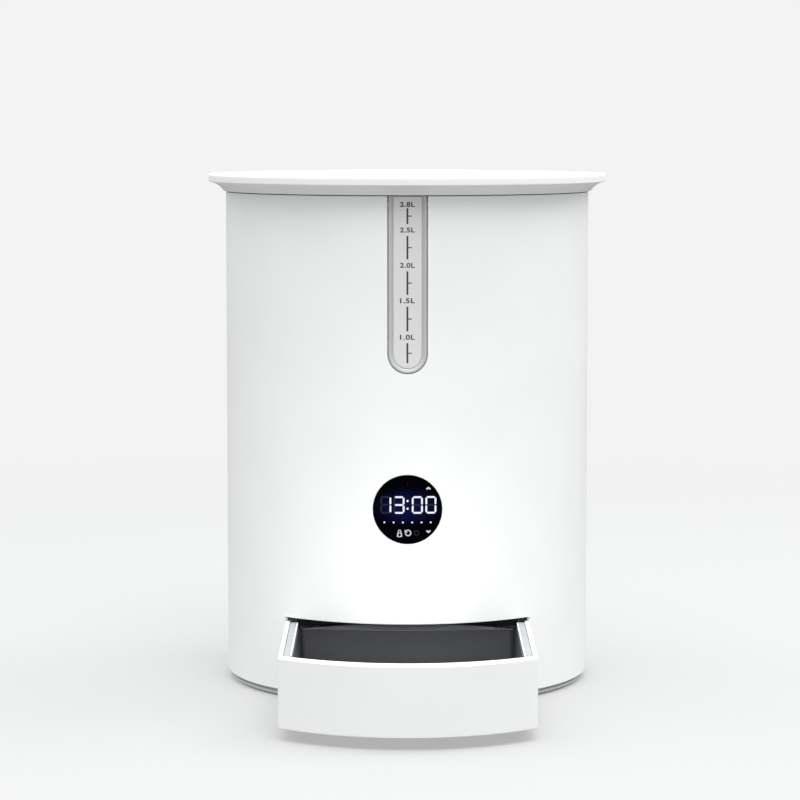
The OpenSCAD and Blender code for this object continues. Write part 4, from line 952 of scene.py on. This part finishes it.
def clock_digits():
    """The lit time, its colon and the row of six dots under it."""
    marks = []
    for x, figure in zip(DIGIT_X, TIME):
        marks += digit(x, SEGMENTS[figure])
    marks += [dot(0, z, 0.62) for z in (4.8, 0.6)]
    marks += [dot(side * x, -7.1, 0.5) for side in (-1, 1) for x in (2.55, 7.7, 12.8)]
    return on_glass(marks)


def clock_ghosts():
    """The digits' unlit bars, an unlit dot and an unlit ring key, which show faintly as a dim painted glow.
    """
    key_x, key_z, key_r, key_w = 5, -12.9, 1.5, 0.5
    marks = []
    for x, figure in zip(DIGIT_X, TIME):
        marks += digit(x, sorted(set("abcdefg") - set(SEGMENTS[figure])))
    marks.append(dot(0, 13.9, 0.35))
    marks.append(mark([ring(key_x, key_z, key_r, 24), ring(key_x, key_z, key_r - key_w, 24)]))
    return on_glass(marks)


def chevron(x, z, up):
    """A short thick arrowhead, up (1) or down (-1)."""
    shape = [(-1.4, -0.3), (-0.8, -0.8), (0, -0.25), (0.8, -0.8), (1.4, -0.3), (0.35, 0.75), (-0.35, 0.75)]
    return mark([[(x + a, z + up * b) for a, b in shape[::up]]])


def padlock(x, z):
    """A padlock: a flat-bottomed body with a round hole in it, and a shackle with legs."""
    shape = [(-1.5, -1.1), (-1.1, -1.5), (1.1, -1.5), (1.5, -1.1), (1.2, 0.9), (-1.2, 0.9)]
    body = mark([[(x + a, z + b) for a, b in shape], ring(x, z - 0.3, 0.8, 24)])
    foot, bow, outer, inner = z + 0.9, z + 1.6, 0.95, 0.5
    shackle = [(x + outer, foot)] + arc(x, bow, outer, 0, 180, 16) + [(x - outer, foot)]
    shackle += [(x - inner, foot)] + arc(x, bow, inner, 180, 0, 16) + [(x + inner, foot)]
    return [body, mark([shackle])]


def turning_arrow(x, z):
    """An arrow that turns most of the way round, with its head at its upper left."""
    r, half_w, start, end = 1.5, 0.325, -175, 135
    sweep = mark([arc(x, z, r + half_w, start, end, 30) + arc(x, z, r - half_w, end, start, 30)])
    out, on = polar(1, end), polar(1, end + 90)
    root = Vector((x, z, 0)) + out * r
    head = mark([[tuple(tip[:2]) for tip in (root + out * 1.1, root + on * 1.3, root - out * 1.1)]])
    return [sweep, head]


def key_icons():
    """The touch keys' marks: an up and a down arrowhead, a padlock and a turning arrow."""
    return on_glass([chevron(11.55, 11.8, 1), chevron(11.55, -12.2, -1), *padlock(-4.4, -13.7),
                     *turning_arrow(0.3, -12.9)])


# ---------------------------------------------------------------- the object

white = satin_white_abs()

CARRIED_OVER = {
    "inner_abs": matt_white_abs(),
    "hopper_clear": clear_san(),
    "chute_black": dark_duct(),
    "base_white": grey_base(),
    "foot_rubber": foot_rubber(),
    "seal_silicone": seal_silicone(),
    "sachet_fabric": sachet_paper(),
    "case_grey": case_abs(),
    "gear_ivory": gear_acetal(),
    "encoder_black": encoder_black(),
    "steel": zinc_steel(),
    "brass": turned_brass(),
    "board_green": board_laminate(),
    "component_dark": component_black(),
    "cell_jacket": cell_jacket(),
    "cable_jacket": cable_jacket(),
}

for part in frame["record"]["subparts"]:
    if part["material_slot"] in CARRIED_OVER:
        for slot in frame["nodes"][part["node"]].material_slots:
            slot.material = CARRIED_OVER[part["material_slot"]]

piece("lid_top", lid_shell(), white, "lid", ["lid_shell"])
piece("housing_wall", joined(housing_wall(), rim_ledge(), housing_bosses()), white, "root",
      ["housing"])
piece("window_bezel", window_frame(), grey_frame_abs(), "root", ["window_frame"])
piece("window_glazing", window_pane(), frosted_pane(), "root", ["window_pane"])
piece("display_face", display_glass(), smoked_acrylic(), "root", ["display_glass"])
piece("drawer_box", drawer_shell(), white, "drawer", ["drawer_shell"])
piece("bin_strips", strips(), pale_strip(), "drawer", ["bin_frame"])
piece("mouth_lips", mouth_lips(), white, "drawer", ["bin_frame"])
tray = piece("bin_tray", food_bin(), dark_bin(), "drawer", ["food_bin"])

piece("level_scale", level_marks(), printed_ink(), "root")
piece("clock_time", clock_digits(), lit_segment("lit clock white", "eef2ff", "fbfdff", 1.0), "root")
# The unlit marks are given a dim painted glow: they emit light though nothing lights them.
piece("clock_unlit", clock_ghosts(), lit_segment("unlit clock painted glow", "1b1b26", "22222e", 1.0), "root")
piece("key_marks", key_icons(), lit_segment("lit key white", "d9daf0", "f4f4ff", 0.8), "root")


# ---------------------------------------------------------------- stage, lights and camera, in metres

BACKGROUND = "f3f3f3"
FLOOR_R = 6
FLOOR_TONE = 0.45                                 # the share of light that the paper gives back
FLOOR_FILL = 0.33                                 # the background's share in what is seen of it nearby
FLOOR_BOUNCE_NEAR, FLOOR_BOUNCE_FAR = 0.53, 0.29  # the light it throws up, nearby and far off


def sweep_paper():
    """Matt paper sweep: it takes soft shadows round the object, fades into the plain pale background, and
    throws an even light up from below."""
    tree, place, end = new_material("matt paper sweep")
    seen = add(tree, "LightPath").outputs["Is Camera Ray"]
    reach = add(tree, "VectorMath", {0: place}, operation="LENGTH")
    fade = add(tree, "MapRange", {"Value": reach.outputs["Value"], "From Min": 0.45, "From Max": 1.2,
                                  "To Min": FLOOR_FILL}, interpolation_type="SMOOTHSTEP")
    paper = add(tree, "BsdfDiffuse", {"Color": (FLOOR_TONE, FLOOR_TONE, FLOOR_TONE, 1)})
    far = add(tree, "Emission", {"Color": linear(BACKGROUND)})
    shown = add(tree, "MixShader", {"Fac": fade.outputs["Result"], 1: paper.outputs[0], 2: far.outputs[0]})
    lift = add(tree, "MapRange", {"Value": reach.outputs["Value"], "From Min": 0.4, "From Max": 1.0,
                                  "To Min": FLOOR_BOUNCE_NEAR, "To Max": FLOOR_BOUNCE_FAR})
    bounce = add(tree, "Emission", {"Color": linear("ffffff"), "Strength": lift.outputs["Result"]})
    return end(add(tree, "MixShader", {"Fac": seen, 1: bounce.outputs[0], 2: shown.outputs[0]}))


def sweep():
    """The round floor under the object."""
    bm = bmesh.new()
    bmesh.ops.create_circle(bm, cap_ends=True, segments=96, radius=FLOOR_R)
    mesh = bpy.data.meshes.new("floor")
    bm.to_mesh(mesh)
    bm.free()
    mesh.materials.append(sweep_paper())
    obj = bpy.data.objects.new("floor", mesh)
    scene.collection.objects.link(obj)
    obj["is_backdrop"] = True


def placed(name, light, place, target):
    """A light at a place in metres, turned to a target."""
    obj = bpy.data.objects.new(name, light)
    scene.collection.objects.link(obj)
    obj.location = place
    obj.rotation_euler = (Vector(target) - Vector(place)).to_track_quat("-Z", "Y").to_euler()
    return obj


def softbox(name, place, target, size, power):
    """A square soft light of a size in metres and a power in watts."""
    light = bpy.data.lights.new(name, "AREA")
    light.size, light.energy = size, power
    return placed(name, light, place, target)


def spotlight(name, place, target, angle, size, power):
    """A round light that fades to the edge of its cone, whose full angle is in degrees."""
    light = bpy.data.lights.new(name, "SPOT")
    light.spot_size, light.spot_blend = radians(angle), 1.0
    light.shadow_soft_size, light.energy = size, power
    return placed(name, light, place, target)


def drawer_bounce(place, target, power):
    """What the drawer's bright rim throws back onto the wall above it. Only its light is seen."""
    light = bpy.data.lights.new("drawer bounce", "AREA")
    light.shape, light.size, light.size_y, light.energy = "RECTANGLE", 0.13, 0.07, power
    obj = placed("drawer bounce", light, place, target)
    obj.visible_camera = False
    obj.visible_glossy = False


def lights_only(obj, light):
    """Lets this light reach one piece and nothing else."""
    reached = bpy.data.collections.new("lit " + obj.name)
    reached.objects.link(obj)
    light.light_linking.receiver_collection = reached


def surroundings(level, rising, zenith, behind):
    """Soft light from all round: one level, a part that rises to overhead, a part close round the zenith
    and a part from behind. What shows is the plain background."""
    world = bpy.data.worlds.new("studio")
    world.use_nodes = True
    scene.world = world
    tree = world.node_tree
    tree.nodes.clear()
    seen = add(tree, "LightPath").outputs["Is Camera Ray"]
    way = add(tree, "SeparateXYZ", {"Vector": add(tree, "TexCoord").outputs["Generated"]}).outputs
    cubed = add(tree, "Math", {0: way["Z"], 1: 3}, operation="POWER").outputs[0]
    back = add(tree, "Math", {0: way["Y"], 1: 0}, operation="MAXIMUM").outputs[0]
    rise = add(tree, "Math", {0: way["Z"], 1: rising, 2: level}, operation="MULTIPLY_ADD").outputs[0]
    top = add(tree, "Math", {0: cubed, 1: zenith, 2: rise}, operation="MULTIPLY_ADD").outputs[0]
    light = add(tree, "Math", {0: back, 1: behind, 2: top}, operation="MULTIPLY_ADD").outputs[0]
    shown = add(tree, "Background", {"Color": linear(BACKGROUND), "Strength": 1.0})
    lit = add(tree, "Background", {"Color": linear("f8fafa"), "Strength": light})
    mixed = add(tree, "MixShader", {"Fac": seen, 1: lit.outputs[0], 2: shown.outputs[0]})
    add(tree, "OutputWorld", {"Surface": mixed.outputs[0]})


def camera():
    """A long lens from the front, a little above the lid and looking slightly down."""
    data = bpy.data.cameras.new("camera")
    data.lens, data.sensor_width = 131.59, 36
    obj = bpy.data.objects.new("camera", data)
    scene.collection.objects.link(obj)
    obj.location = (-0.00415, -1.70145, 0.32581)
    obj.rotation_euler = (radians(84.468), 0, 0)
    scene.camera = obj


sweep()
surroundings(level=0.46, rising=0.99, zenith=1.09, behind=0.32)
softbox("overhead", (0, -0.1, 1.5), (0, -0.05, 0.2), size=1.4, power=2.4)
softbox("over the front", (0, -0.8, 1.6), (0, -0.05, 0.2), size=1.0, power=4.6)
softbox("high front", (0.4, -1.1, 1.9), (0, 0, 0.12), size=0.8, power=7.4)
softbox("high right", (1.2, 0.3, 1.4), (0, 0, 0.15), size=0.8, power=8.8)
softbox("high left", (-1.2, 0.3, 1.4), (0, 0, 0.15), size=0.8, power=3.3)
spotlight("low front", (0, -1.6, 0.66), (0, -0.1, 0.035), angle=6.5, size=0.2, power=50)
drawer_bounce((0, -0.175, 0.05), (0, -0.12, 0.12), power=0.045)
bin_light = spotlight("into the bin", (0, -1.7, 0.36), (0, -0.1, 0.03), angle=8, size=0.1, power=31)
lights_only(tray, bin_light)
camera()

boxes = {"cad": cad_box, "visual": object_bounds()}
{name: [[round(float(c), 6) for c in corner] for corner in box] for name, box in boxes.items()}
